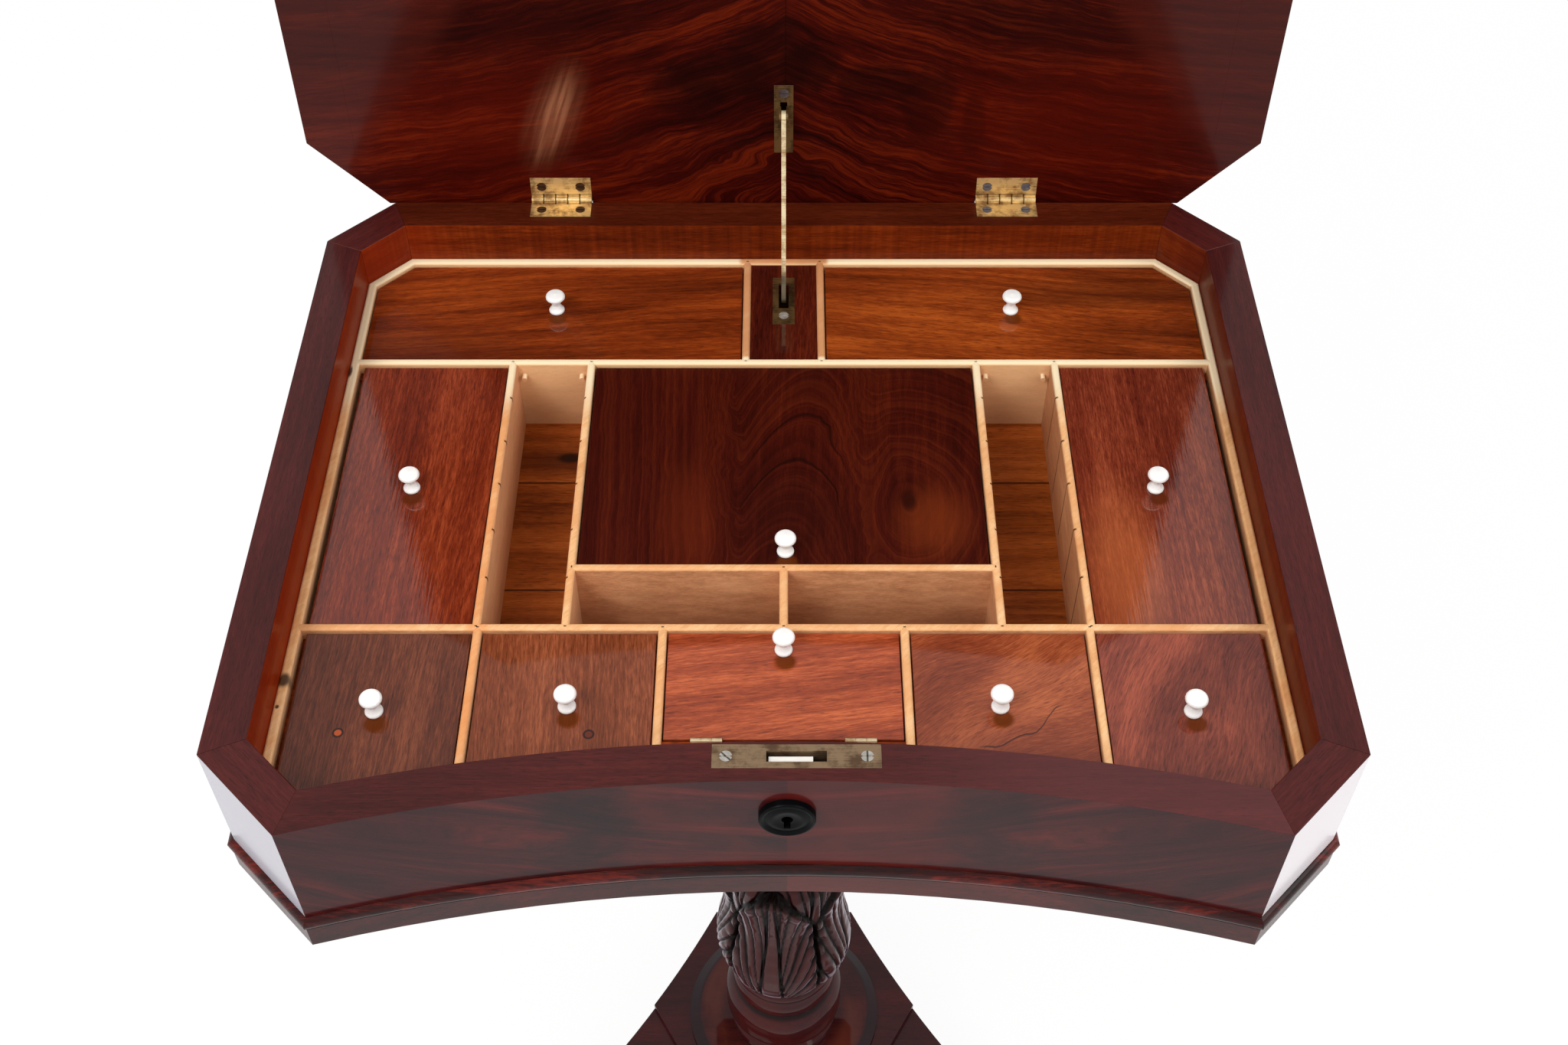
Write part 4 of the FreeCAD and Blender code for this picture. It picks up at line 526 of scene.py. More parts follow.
def arched_figure(finish, place, colour):
    """Arches that open to the front in the middle of the centre lid, and rings about a knot at its right."""
    x, y, _ = finish.parts(place)
    warp = finish.cloud(place, (0.035, 0.035, 0.035), 4.0, 3.0, 0.55) - 0.5
    aside = x - 0.006 - y * 0.12 + warp * 0.012
    arches = y + aside * aside * 47.0 + warp * 0.016
    from_knot = finish.vectors("SUBTRACT", place, (0.073, -0.022, 0.0))
    ring = finish.distance(finish.vectors("MULTIPLY", from_knot, (1.0, 0.72, 0.0)), ORIGIN) + warp * 0.010
    right = finish.rise(x + warp * 0.02, 0.036, 0.062)
    left = finish.rise(x + warp * 0.02, -0.024, -0.046)
    upright = x + y * 0.04 + warp * 0.006
    field = arches * (1.0 - right) * (1.0 - left) + ring * 2.2 * right + upright * left * 2.4
    lines = finish.cloud(finish.joined(field, 0.0, 0.0), (0.0085, 1.0, 1.0), 1.0, 4.0, 0.6)
    fine = finish.cloud(finish.joined(field, 0.0, 0.0), (0.0024, 1.0, 1.0), 5.0, 2.0, 0.6)
    figure_tones = (tone(38, 5, 2), tone(62, 13, 5), tone(94, 32, 12))
    colour = finish.mix(0.45, colour, finish.graded(lines * 0.6 + fine * 0.4, figure_tones, 0.14))
    deep = finish.mark(place, (0.008, -0.030, LID_TOP), (0.026, 0.034, 1.0), 0.7)
    colour = finish.mix(deep * 0.45, colour, tone(36, 5, 3))
    warm = finish.mark(place, (0.086, -0.034, LID_TOP), (0.018, 0.022, 1.0), 0.7)
    colour = finish.mix(warm * 0.35, colour, tone(140, 58, 20))
    warm_left = finish.mark(place, (-0.055, -0.030, LID_TOP), (0.014, 0.034, 1.0), 0.8)
    colour = finish.mix(warm_left * 0.22, colour, tone(128, 46, 16))
    legs = finish.rise(abs(aside), 0.034, 0.024)
    for peak in (0.049, 0.014):
        line = finish.rise(abs(arches - peak), 0.0022, 0.0003) * legs
        colour = finish.mix(line * 0.75, colour, tone(24, 4, 2))
    eye = finish.mark(place, (0.072, -0.018, LID_TOP), (0.0045, 0.0075, 1.0), 0.5)
    return finish.mix(eye * 0.75, colour, tone(26, 4, 2))


def plug(x, y, disc_tone):
    """A round plug let into a lid: a disc of its own tone in a dark ring."""
    def let_in(finish, place, colour):
        reach = finish.distance(finish.vectors("MULTIPLY", place, (1.0, 1.0, 0.0)), (x, y, 0.0))
        colour = finish.mix(finish.rise(reach, 0.0033, 0.0028) * 0.9, colour, tone(34, 12, 8))
        return finish.mix(finish.rise(reach, 0.0022, 0.0016), colour, disc_tone)
    return let_in


def patch(x, y, size, shade, share):
    """A soft darker or lighter patch on a lid, its edge drawn out by the grain."""
    def tint(finish, place, colour):
        warp = finish.cloud(place, (0.06, 0.012, 0.05), 3.0, 3.0) - 0.5
        moved = finish.vectors("MULTIPLY_ADD", warp, (0.0, 0.03, 0.0), place)
        spot = finish.mark(moved, (x, y, LID_TOP), (size[0], size[1], 1.0), 0.7)
        return finish.mix(spot * share, colour, shade)
    return tint


def split_veneer(finish, place, colour):
    """The fine crack and the dark swirl near the front of the right inner lid."""
    warp = finish.cloud(place, (0.012, 0.012, 0.012), 2.0, 3.0) - 0.5
    x, y, _ = finish.parts(place)
    line = -0.188 + finish.rise(x, 0.108, 0.126) * 0.008 + finish.rise(x, 0.128, 0.146) * 0.018
    crack = finish.rise(abs(y - line + warp * 0.004), 0.0009, 0.0002) * finish.band(x, 0.102, 0.145, 0.003)
    swirl = finish.mark(place, (0.125, -0.190, LID_TOP), (0.034, 0.016, 1.0), 0.8)
    colour = finish.mix(swirl * 0.4, colour, tone(110, 44, 28))
    return finish.mix(crack * 0.8, colour, tone(50, 18, 14))


def bay_lid_finishes():
    """One finish for each flat lid, with its own tones, grain direction, marks and place of the knob."""
    golden = (tone(88, 32, 7), tone(136, 56, 16), tone(182, 86, 29))
    reddish = (tone(80, 21, 8), tone(120, 42, 18), tone(164, 70, 36))
    pinkish = (tone(78, 23, 13), tone(118, 46, 27), tone(164, 80, 49))
    deep = (tone(42, 6, 2), tone(64, 14, 5), tone(90, 28, 9))
    dark_block = (tone(48, 10, 4), tone(76, 21, 9), tone(104, 36, 15))
    brown = (tone(64, 28, 16), tone(96, 46, 28), tone(130, 68, 42))
    warm_brown = (tone(88, 38, 17), tone(125, 61, 33), tone(164, 88, 54))
    bright = (tone(118, 44, 21), tone(162, 70, 37), tone(210, 106, 60))
    flamed = (tone(102, 40, 20), tone(140, 64, 35), tone(184, 98, 57))
    dusky = (tone(84, 33, 24), tone(124, 56, 41), tone(168, 82, 57))
    dark_corner = patch(-0.225, 0.108, (0.055, 0.016), tone(74, 24, 7), 0.5)
    dark_flame = patch(0.215, 0.160, (0.070, 0.010), tone(60, 20, 6), 0.55)
    pale_flame = patch(0.190, -0.070, (0.018, 0.050), tone(206, 112, 62), 0.35)
    orange_plug = plug(-0.231, -0.179, tone(170, 74, 30))
    brown_plug = plug(-0.101, -0.180, tone(100, 38, 20))
    calm = (0.3, 0.3, 0.45)
    boards = {
        "rear_left_lid": dict(tones=ORANGE_TONES, turn=4.0, seed=1.0, bend=0.02, extra=dark_corner,
                              knob=(-0.144, 0.143)),
        "rear_right_lid": dict(tones=golden, turn=-5.0, seed=2.0, bend=0.03, extra=dark_flame,
                               knob=(0.144, 0.143)),
        "side_left_lid": dict(tones=reddish, turn=89.0, seed=3.0, lacquer=0.85, shares=calm, streak=0.0028,
                              knob=(-0.2155, -0.009)),
        "side_right_lid": dict(tones=pinkish, turn=91.0, seed=4.0, lacquer=0.85, shares=calm, streak=0.0028,
                               extra=pale_flame, knob=(0.2155, -0.009)),
        "centre_lid": dict(tones=deep, turn=88.0, seed=5.0, coat=0.8, extra=arched_figure,
                           knob=(0.001, -0.057)),
        "front_left_lid": dict(tones=brown, turn=88.0, seed=6.0, coat=0.8, streak=0.0024, shares=calm,
                               extra=orange_plug, knob=(-0.214, -0.166)),
        "front_inner_left_lid": dict(tones=warm_brown, turn=92.0, seed=7.0, coat=0.8, streak=0.0024,
                                     shares=calm, extra=brown_plug, knob=(-0.1135, -0.163)),
        "front_flap": dict(tones=bright, turn=8.0, seed=8.0, bend=0.015, streak=0.0022, broad=0.018,
                           long=0.20, shares=(0.4, 0.22, 0.4), knob=(0.0, -0.126)),
        "front_inner_right_lid": dict(tones=flamed, turn=30.0, seed=9.0, bend=0.06, long=0.09, broad=0.036,
                                      shares=(0.5, 0.15, 0.4), extra=split_veneer, knob=(0.1135, -0.163)),
        "front_right_lid": dict(tones=dusky, turn=70.0, seed=10.0, bend=0.05, broad=0.045, long=0.10,
                                shares=(0.65, 0.15, 0.4), knob=(0.214, -0.166)),
        "stay_block": dict(tones=dark_block, turn=88.0, seed=11.0, shares=(0.3, 0.4, 0.5)),
    }
    return {name: plank(name + "_wood", **board) for name, board in boards.items()}


# Maple, floor boards, brass, steel, bone and ebonised wood

MAPLE_TOPS = (tone(214, 148, 92), tone(242, 185, 128), tone(255, 214, 164))
# The upright faces' darker tones, a painted shade
MAPLE_SHADED_SIDES = (tone(186, 126, 86), tone(214, 152, 106), tone(236, 174, 126))
# Each dark mark on the lining: its middle and its half lengths
MAPLE_MARKS = [((-0.2643, -0.1472, WALL_TOP), (0.0034, 0.0044, 0.01)),
               ((-0.2647, -0.1644, WALL_TOP), (0.0010, 0.0012, 0.01)),
               ((-0.2605, -0.2023, WALL_TOP), (0.0012, 0.0016, 0.01)),
               ((-0.2659, 0.0854, WALL_TOP), (0.0012, 0.0045, 0.02))]


def maple_tops(finish, place, colour):
    """Tanned patches, a redder left wall, painted light that pales the back tops, and painted shade on the
    walls beside the stay block.
    """
    x, y, _ = finish.parts(place)
    tanned = finish.cloud(place, (0.06, 0.05, 0.05), 7.0, 2.0)
    colour = finish.mix(finish.rise(tanned, 0.42, 0.62) * 0.45, colour, tone(226, 148, 88))
    colour = finish.mix(finish.band(x, -0.172, -0.160, 0.002) * 0.4, colour, tone(226, 130, 60))
    # Painted shade on the walls beside the stay block, and painted light on the tops towards the back.
    painted_shade_beside_block = finish.rise(abs(x), 0.030, 0.026) * finish.rise(y, 0.097, 0.100)
    painted_light_back = finish.rise(y, 0.04, 0.08) * (1.0 - painted_shade_beside_block)
    colour = finish.mix(painted_light_back * 0.95, colour, tone(255, 234, 194))
    return finish.mix(painted_shade_beside_block * 0.7, colour, tone(206, 138, 92))


def maple_sides_painted_shading(finish, place, value, colour):
    """Painted light and shade on the upright faces: darker than the tops, lighter or darker by which way they
    face and where they stand, and darker downwards.
    """
    x, y, z = finish.parts(place)
    nx, ny, nz = finish.facing()
    upright = finish.rise(nz, 0.5, 0.2)
    # Painted shade: the upright faces take darker tones than the tops.
    colour = finish.mix(upright, colour, finish.graded(value, MAPLE_SHADED_SIDES))
    # Painted light on the front-facing well walls and the inner left walls; painted shade on the outer right
    # walls.
    painted_light_well_end = finish.rise(0.0 - ny, 0.5, 0.8) * finish.rise(y, 0.06, 0.08)
    colour = finish.mix(painted_light_well_end * 0.6, colour, tone(255, 210, 154))
    painted_light_inner_left = finish.rise(nx, 0.5, 0.8) * finish.rise(x, -0.05, -0.10)
    colour = finish.mix(painted_light_inner_left * 0.4, colour, tone(250, 196, 146))
    painted_shade_outer_right = finish.rise(0.0 - nx, 0.5, 0.8) * finish.rise(x, 0.10, 0.15)
    colour = finish.mix(painted_shade_outer_right * 0.45, colour, tone(158, 104, 68))
    # Painted shade, darker downwards into the bays.
    low = finish.rise(z, 0.738, 0.693)
    colour = finish.mix(low * upright * 0.35, colour, tone(138, 88, 60))
    blotch = finish.cloud(finish.joined(x, y, z * 6.0), (0.05, 0.05, 0.10), 4.0, 3.0)
    return finish.mix(finish.rise(blotch, 0.5, 0.7) * upright * 0.3, colour, tone(240, 184, 134))


def maple_cuts(finish, place, colour):
    """Dark saw cuts in the well walls, and a few dark marks on the lining."""
    x, y, z = finish.parts(place)
    cuts = 0.0
    for row in SAW_CUT_ROWS:
        cuts = cuts + finish.rise(abs(y - row), 0.0010, 0.0005)
    nicks = finish.band(abs(abs(x) - WELL_MIDDLE), 0.0208, 0.0229, 0.0003) * finish.rise(z, 0.7385, 0.7395)
    long_cuts = finish.band(x, 0.1640, 0.1662, 0.0004) * finish.rise(z, 0.695, 0.697)
    colour = finish.mix(cuts * finish.maths("MAXIMUM", nicks, long_cuts) * 0.7, colour, tone(84, 42, 22))
    for spot, size in MAPLE_MARKS:
        colour = finish.mix(finish.mark(place, spot, size) * 0.9, colour, tone(48, 20, 12))
    return colour


def maple_wood():
    """Maple: pale rounded tops over sides darkened with painted shade."""
    finish = Finish("maple")
    place = finish.place()
    x, y, z = finish.parts(place)
    grain = finish.joined(x + y, z * 4.0, x - y)
    colour, height, value = timber(finish, grain, MAPLE_TOPS, 1.0, long=0.06, broad=0.02, streak=0.004,
                                   shares=(0.3, 0.3, 0.2), bend=0.0, pores=0.1)
    colour = maple_tops(finish, place, colour)
    colour = maple_sides_painted_shading(finish, place, value, colour)
    colour = maple_cuts(finish, place, colour)
    return finish.shade(Base_Color=colour, Roughness=0.5, Specular_IOR_Level=0.3, Coat_Weight=0.15,
                        Coat_Roughness=0.3, Normal=finish.bump(height, 0.00003))


def floor_boards():
    """The well floors and the underside: boards across the case with dark seams and a knot."""
    finish = Finish("floor_boards")
    place = finish.place()
    y = finish.parts(place)[1]
    tones = (tone(98, 42, 12), tone(148, 74, 25), tone(186, 100, 42))
    colour, height, _ = timber(finish, place, tones, 3.0, broad=0.02, shares=(0.5, 0.4, 0.3))
    seams = finish.rise(abs(y - 0.041), 0.0012, 0.0004) + finish.rise(abs(y + 0.044), 0.0012, 0.0004)
    colour = finish.mix(seams * 0.8, colour, tone(40, 14, 4))
    flow = finish.mark(place, (-0.137, 0.060, FLOOR_TOP), (0.030, 0.008, 0.01), 0.8)
    colour = finish.mix(flow * 0.6, colour, tone(84, 34, 8))
    knot = finish.mark(place, (-0.134, 0.062, FLOOR_TOP), (0.0075, 0.0042, 0.01), 0.4)
    colour = finish.mix(knot * 0.9, colour, tone(24, 8, 3))
    shaded = finish.rise(y, -0.02, -0.10)
    colour = finish.mix(shaded * 0.3, colour, tone(70, 24, 6))
    return polished(finish, colour, height - seams, 0.2, 0.3)


STAND_TONES = (tone(36, 7, 9), tone(53, 11, 13), tone(72, 18, 18))
STAND_FIGURE = dict(seed=6.0, long=0.12, broad=0.03, shares=(0.3, 0.25, 0.25))


def stand_wood():
    """The polished pedestal: a worn ring on the disc, a dark disc edge, redder turnings and painted shade in
    the hollows.
    """
    finish = Finish("stand_wood")
    place = finish.place()
    x, y, z = finish.parts(place)
    colour, height, _ = timber(finish, place, STAND_TONES, **STAND_FIGURE)
    from_axis = finish.distance(finish.joined(x, y, 0.0), (0.0, COLUMN_Y, 0.0))
    worn = finish.cloud(place, (0.03, 0.05, 0.05), 8.0, 3.0)
    on_disc = finish.band(z, 0.0835, 0.0845, 0.0006) * finish.band(from_axis, 0.052, 0.070, 0.005)
    colour = finish.mix(on_disc * finish.rise(worn, 0.40, 0.62) * 0.38, colour, tone(104, 46, 28))
    disc_edge = finish.band(z, 0.077, 0.0835, 0.0008) * finish.rise(from_axis, 0.066, 0.070)
    colour = finish.mix(disc_edge * 0.7, colour, tone(14, 8, 16))
    turnings = finish.rise(z, 0.0845, 0.087)
    colour = finish.mix(turnings * finish.rise(worn, 0.35, 0.65) * 0.35, colour, tone(80, 20, 13))
    # Painted shade in the hollows between the rings.
    painted_shade_hollows = finish.band(z, 0.1425, 0.1500, 0.0012) + finish.band(z, 0.1665, 0.1725, 0.0010)
    colour = finish.mix(painted_shade_hollows * 0.8, colour, tone(12, 4, 4))
    return polished(finish, colour, height, 0.60 - turnings * 0.22, 0.05)


def carved_wood():
    """The bulb's wood: painted shade makes the carving's grooves black, and painted highlights pale its
    crests and its silhouette.
    """
    finish = Finish("carved_wood")
    place = finish.place()
    grain = finish.turned(place, (0.0, 90.0, 0.0))
    colour, height, _ = timber(finish, grain, STAND_TONES, **STAND_FIGURE)
    groove = finish.node("ShaderNodeAttribute", {"attribute_name": "groove"}, None, "Fac")
    # Painted shade: the carving's grooves darkened to near black.
    dark = finish.rise(groove, 0.1, 0.7)
    colour = finish.mix(dark * 0.94, colour, tone(5, 2, 2))
    # Painted highlight: paler crests between the grooves.
    colour = finish.mix(finish.rise(groove, 0.2, 0.0) * 0.22, colour, tone(88, 42, 36))
    # Painted reflection: a pale lavender sheen where the surface is seen edge on, above the hem.
    above_hem = finish.rise(finish.parts(place)[2], 0.194, 0.206)
    painted_silhouette_sheen = finish.rise(finish.low_angle(), 0.68, 0.95) * (1.0 - dark) * above_hem
    colour = finish.mix(painted_silhouette_sheen * 0.55, colour, tone(196, 184, 198))
    return polished(finish, colour, height, 0.26 - dark * 0.22, 0.13)


def aged_brass(name, bright, dull, metal=0.7, painted_shadow_below=None, knuckles=False):
    """Brass with duller patches and fine scratches; it may have a foot blacked by painted shadow, or dark
    lines at knuckles.
    """
    finish = Finish(name)
    place = finish.place()
    x, y, z = finish.parts(place)
    patches = finish.cloud(place, (0.010, 0.010, 0.010), 2.0, 4.0, 0.65)
    scratches = finish.cloud(place, (0.02, 0.0006, 0.0006), 1.0, 2.0)
    share = finish.rise(patches + (scratches - 0.5) * 0.3, 0.38, 0.68)
    colour = finish.mix(share, bright, dull)
    if painted_shadow_below is not None:
        # Painted shadow: the foot blackened below a height.
        foot = finish.rise(z, painted_shadow_below + 0.004, painted_shadow_below - 0.004)
        colour = finish.mix(foot * 0.85, colour, tone(30, 20, 11))
    if knuckles:
        from_pin = finish.distance(finish.joined(0.0, y, z), (0.0, *HINGE_AXIS))
        along = abs(abs(x) - HINGE_X)
        inner_split = finish.rise(abs(along - KNUCKLE_LONG * 0.5), 0.0006, 0.0003)
        outer_split = finish.rise(abs(along - KNUCKLE_LONG * 1.5), 0.0006, 0.0003)
        splits = (inner_split + outer_split) * finish.rise(from_pin, 0.0045, 0.0040)
        foot_line = finish.band(from_pin, 0.0032, 0.0042, 0.0005)
        colour = finish.mix((splits + foot_line * 0.7) * 0.75, colour, tone(60, 40, 20))
    return finish.shade(Base_Color=colour, Metallic=metal, Roughness=0.3 + share * 0.2,
                        Normal=finish.bump(scratches + patches, 0.00004))


LEFT_LOCK_SCREW = (-0.0286, -0.2128)
RIGHT_LOCK_SCREW_X = 0.0414


def screw_metal():
    """Dark screws in the left hinge, bluish grey ones in the right one, silvery slotted ones in the lock."""
    finish = Finish("screw_metal")
    place = finish.place()
    x, y, _ = finish.parts(place)
    grime = finish.cloud(place, (0.002, 0.002, 0.002), 1.0, 3.0)
    silver = finish.mix(grime, tone(226, 222, 214), tone(150, 142, 130))
    bluish = finish.mix(grime, tone(150, 148, 156), tone(70, 62, 66))
    dark = finish.mix(grime, tone(96, 62, 40), tone(40, 22, 16))
    hinge_screw = finish.mix(finish.rise(x, -0.01, 0.01), dark, bluish)
    colour = finish.mix(finish.rise(y, 0.17, 0.20), silver, hinge_screw)
    askew = x - LEFT_LOCK_SCREW[0] + (y - LEFT_LOCK_SCREW[1])
    left_slot = finish.rise(abs(askew), 0.0008, 0.0004)
    right_slot = finish.rise(abs(x - RIGHT_LOCK_SCREW_X), 0.0006, 0.0003)
    slots = (left_slot + right_slot) * finish.rise(y, -0.20, -0.205)
    colour = finish.mix(slots * 0.85, colour, tone(40, 32, 24))
    return finish.shade(Base_Color=colour, Metallic=0.6, Roughness=0.35, Normal=finish.bump(grime, 0.00005))


def worn_steel():
    """The bolt: bright steel rubbed along its travel."""
    finish = Finish("worn_steel")
    rubs = finish.cloud(finish.place(), (0.006, 0.0008, 0.002), 1.0, 4.0)
    colour = finish.mix(rubs, tone(255, 254, 250), tone(238, 228, 218))
    return finish.shade(Base_Color=colour, Metallic=0.1, Roughness=0.4, Normal=finish.bump(rubs, 0.00005))


def turned_bone():
    """The knobs: nearly white, with faint turning rings."""
    finish = Finish("turned_bone")
    rings = finish.cloud(finish.place(), (0.02, 0.02, 0.0006), 1.0, 2.0)
    colour = finish.mix(rings * 0.4, tone(255, 254, 252), tone(246, 240, 230))
    return finish.shade(Base_Color=colour, Roughness=0.3, Coat_Weight=0.5, Coat_Roughness=0.1,
                        Normal=finish.bump(rings, 0.00002))


def ebonised():
    """The escutcheon: black turned wood with little shine."""
    finish = Finish("ebonised")
    fine = finish.cloud(finish.place(), (0.001, 0.0004, 0.006), 1.0, 3.0)
    colour = finish.mix(fine, tone(3, 4, 5), tone(10, 11, 13))
    return finish.shade(Base_Color=colour, Roughness=0.4, Specular_IOR_Level=0.05, Coat_Weight=0.04,
                        Coat_Roughness=0.10, Normal=finish.bump(fine, 0.00003))


# Shaping

TINY = 0.000001
MERGE_REACH = 0.00001
FLAT_WITHIN = 0.5
WALL_ROUNDING = 0.0017
EDGE_ROUNDING = 0.0004


def finish_piece(name, mesh, body, finish, replaced, smooth=True):
    """Turns a bmesh into a piece that rides on a body and stands for CAD nodes."""
    data = bpy.data.meshes.new(name)
    mesh.to_mesh(data)
    mesh.free()
    data.polygons.foreach_set("use_smooth", [smooth] * len(data.polygons))
    data.materials.append(finish)
    piece = link(bpy.data.objects.new(name, data))
    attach(piece, body)
    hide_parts(*replaced)
    return piece


def add_box(mesh, low, high):
    """Adds a box between two corners and gives its vertices."""
    middle = (Vector(low) + Vector(high)) / 2.0
    size = Vector(high) - Vector(low)
    matrix = Matrix.Translation(middle) @ Matrix.Diagonal((*size, 1.0))
    return bmesh.ops.create_cube(mesh, size=1.0, matrix=matrix)["verts"]


def round_top(mesh, corners, along):
    """Rounds the two long top edges of a wall that runs along X (0) or Y (1)."""
    top = max(corner.co.z for corner in corners)
    chosen = []
    for edge in {edge for corner in corners for edge in corner.link_edges}:
        first, second = edge.verts
        run = abs(first.co[along] - second.co[along])
        if run > TINY and min(first.co.z, second.co.z) > top - TINY:
            chosen.append(edge)
    bmesh.ops.bevel(mesh, geom=chosen, offset=WALL_ROUNDING, offset_type="OFFSET", affect="EDGES", segments=4,
                    profile=0.5, material=-1)


def wall_along_x(mesh, y, x_low, x_high):
    """A round-topped wall from left to right, about a middle line."""
    half = WALL_THICK / 2.0
    round_top(mesh, add_box(mesh, (x_low, y - half, FLOOR_TOP), (x_high, y + half, WALL_TOP)), 0)


def wall_along_y(mesh, x, y_low, y_high):
    """A round-topped wall from front to back, about a middle line."""
    half = WALL_THICK / 2.0
    round_top(mesh, add_box(mesh, (x - half, y_low, FLOOR_TOP), (x + half, y_high, WALL_TOP)), 1)


def cut_away(piece, cutters):
    """Takes the cutters' boxes out of a piece for good."""
    tool = link(bpy.data.objects.new("cutter", bpy.data.meshes.new("cutter")))
    cutters.to_mesh(tool.data)
    cutters.free()
    cut = piece.modifiers.new("cut", "BOOLEAN")
    cut.operation = "DIFFERENCE"
    cut.solver = "EXACT"
    cut.object = tool
    view = bpy.context.evaluated_depsgraph_get()
    carved = bpy.data.meshes.new_from_object(piece.evaluated_get(view))
    piece.modifiers.clear()
    piece.data = carved
    bpy.data.objects.remove(tool)


def merge_smooth(thing):
    """Joins a solid's loose triangles and shades them smooth."""
    thing.data.polygons.foreach_set("use_smooth", [True] * len(thing.data.polygons))
    thing.modifiers.new("merge", "WELD").merge_threshold = MERGE_REACH


def soften(thing, radius=EDGE_ROUNDING, segments=2):
    """Rounds the edges of a solid with flat faces."""
    merge_smooth(thing)
    flat = thing.modifiers.new("flat", "DECIMATE")
    flat.decimate_type = "DISSOLVE"
    flat.angle_limit = math.radians(FLAT_WITHIN)
    edges = thing.modifiers.new("edges", "BEVEL")
    edges.width = radius
    edges.segments = segments
    edges.limit_method = "ANGLE"
    edges.angle_limit = math.radians(40.0)
    edges.use_clamp_overlap = True
    even = thing.modifiers.new("even", "WEIGHTED_NORMAL")
    even.keep_sharp = True


def smooth_turning(thing):
    """Smooths a turned solid up to its sharp edges."""
    merge_smooth(thing)
    split = thing.modifiers.new("crisp", "EDGE_SPLIT")
    split.split_angle = math.radians(38.0)
    split.use_edge_sharp = False


# Walls of maple

LONG_WALL_REACH = 0.2625
BLOCK_WALL_X = 0.0234
FLAP_WALL_X = 0.0655
CORNER_WALL_X = 0.1658
CUT_DEPTH = 0.0012
CUT_HALF = 0.0005
CUT_CLEAR = WALL_TOP + 0.002
NICK_FOOT = WALL_TOP - 0.004
LONG_CUT_FOOT = FLOOR_TOP + 0.006
LINING_ROUNDING = 0.0018


def finish_walls(name, mesh, maple, node):
    """Turns walls of maple into a piece that stands for a CAD node."""
    return finish_piece(name, mesh, "table", maple, [node], False)


def build_walls(maple):
    """The walls between the bays: two long ones, the sawn walls of the wells and the short ones."""
    rear = bmesh.new()
    wall_along_x(rear, BACK_DIVIDER_Y, -LONG_WALL_REACH, LONG_WALL_REACH)
    finish_walls("rear_wall", rear, maple, "rear_divider")
    front = bmesh.new()
    wall_along_x(front, FRONT_DIVIDER_Y, -LONG_WALL_REACH, LONG_WALL_REACH)
    finish_walls("front_wall", front, maple, "front_divider")
    for side in (-1, 1):
        for across, label in ((WELL_OUTER, "outer"), (WELL_INNER, "inner")):
            wall = bmesh.new()
            wall_along_y(wall, side * across, FRONT_DIVIDER_Y, BACK_DIVIDER_Y)
            name = "well_wall_%s_%s" % ("right" if side > 0 else "left", label)
            piece = finish_walls(name, wall, maple, "well_partitions")
            cut_away(piece, saw_cuts(side, across, label))
    short = bmesh.new()
    wall_along_x(short, MID_DIVIDER_Y, -WELL_INNER, WELL_INNER)
    wall_along_y(short, 0.0, FRONT_DIVIDER_Y, MID_DIVIDER_Y)
    for side in (-1, 1):
        wall_along_y(short, side * BLOCK_WALL_X, BACK_DIVIDER_Y, BAYS_BACK_Y)
        wall_along_y(short, side * FLAP_WALL_X, BAYS_FRONT_Y, FRONT_DIVIDER_Y)
        wall_along_y(short, side * CORNER_WALL_X, BAYS_FRONT_Y, FRONT_DIVIDER_Y)
    finish_walls("short_walls", short, maple, "short_partitions")


def saw_cuts(side, across, label):
    """Cutters for nicks in a well wall's inner top edge, or for long cuts down the right outer wall."""
    cutters = bmesh.new()
    inset = -WALL_THICK / 2.0 if label == "outer" else WALL_THICK / 2.0
    inner_face = side * (across + inset)
    foot = LONG_CUT_FOOT if side > 0 and label == "outer" else NICK_FOOT
    for row in SAW_CUT_ROWS:
        low = (inner_face - CUT_DEPTH, row - CUT_HALF, foot)
        high = (inner_face + CUT_DEPTH, row + CUT_HALF, CUT_CLEAR)
        add_box(cutters, low, high)
    return cutters


def build_lining(maple):
    """The lining from the merged solid, its top edges rounded."""
    lining = bmesh.new()
    lining.from_mesh(nodes["maple_liner"].data)
    bmesh.ops.remove_doubles(lining, verts=lining.verts, dist=MERGE_REACH)
    bmesh.ops.dissolve_limit(lining, angle_limit=math.radians(FLAT_WITHIN), verts=lining.verts,
                             edges=lining.edges, delimit={"NORMAL"})
    top_edges = []
    for edge in lining.edges:
        if min(corner.co.z for corner in edge.verts) > WALL_TOP - 0.0001 and len(edge.link_faces) == 2:
            if edge.calc_face_angle(0.0) > 0.8:
                top_edges.append(edge)
    bmesh.ops.bevel(lining, geom=top_edges, offset=LINING_ROUNDING, offset_type="OFFSET", affect="EDGES",
                    segments=4, profile=0.5, material=-1, clamp_overlap=True)
    finish_walls("maple_lining", lining, maple, "maple_liner")


# Carved bulb

# Heights and radii of the bulb's outline
BULB_PROFILE = [(0.182, 0.0410), (0.194, 0.0475), (0.206, 0.0515), (0.218, 0.0534), (0.230, 0.0534),
                (0.242, 0.0519), (0.254, 0.0496), (0.266, 0.0475), (0.278, 0.0461), (0.290, 0.0460),
                (0.302, 0.0474), (0.314, 0.0493), (0.326, 0.0509), (0.338, 0.0506), (0.347, 0.0472),
                (0.355, 0.0400), (0.362, 0.0300)]
BULB_BOTTOM = BULB_PROFILE[0][0]
BULB_TOP = BULB_PROFILE[-1][0]
BULB_RINGS = 190
BULB_STEPS = 360
FRONT_LEAF_TURN = -11.0
LEAF_COUNT = 4

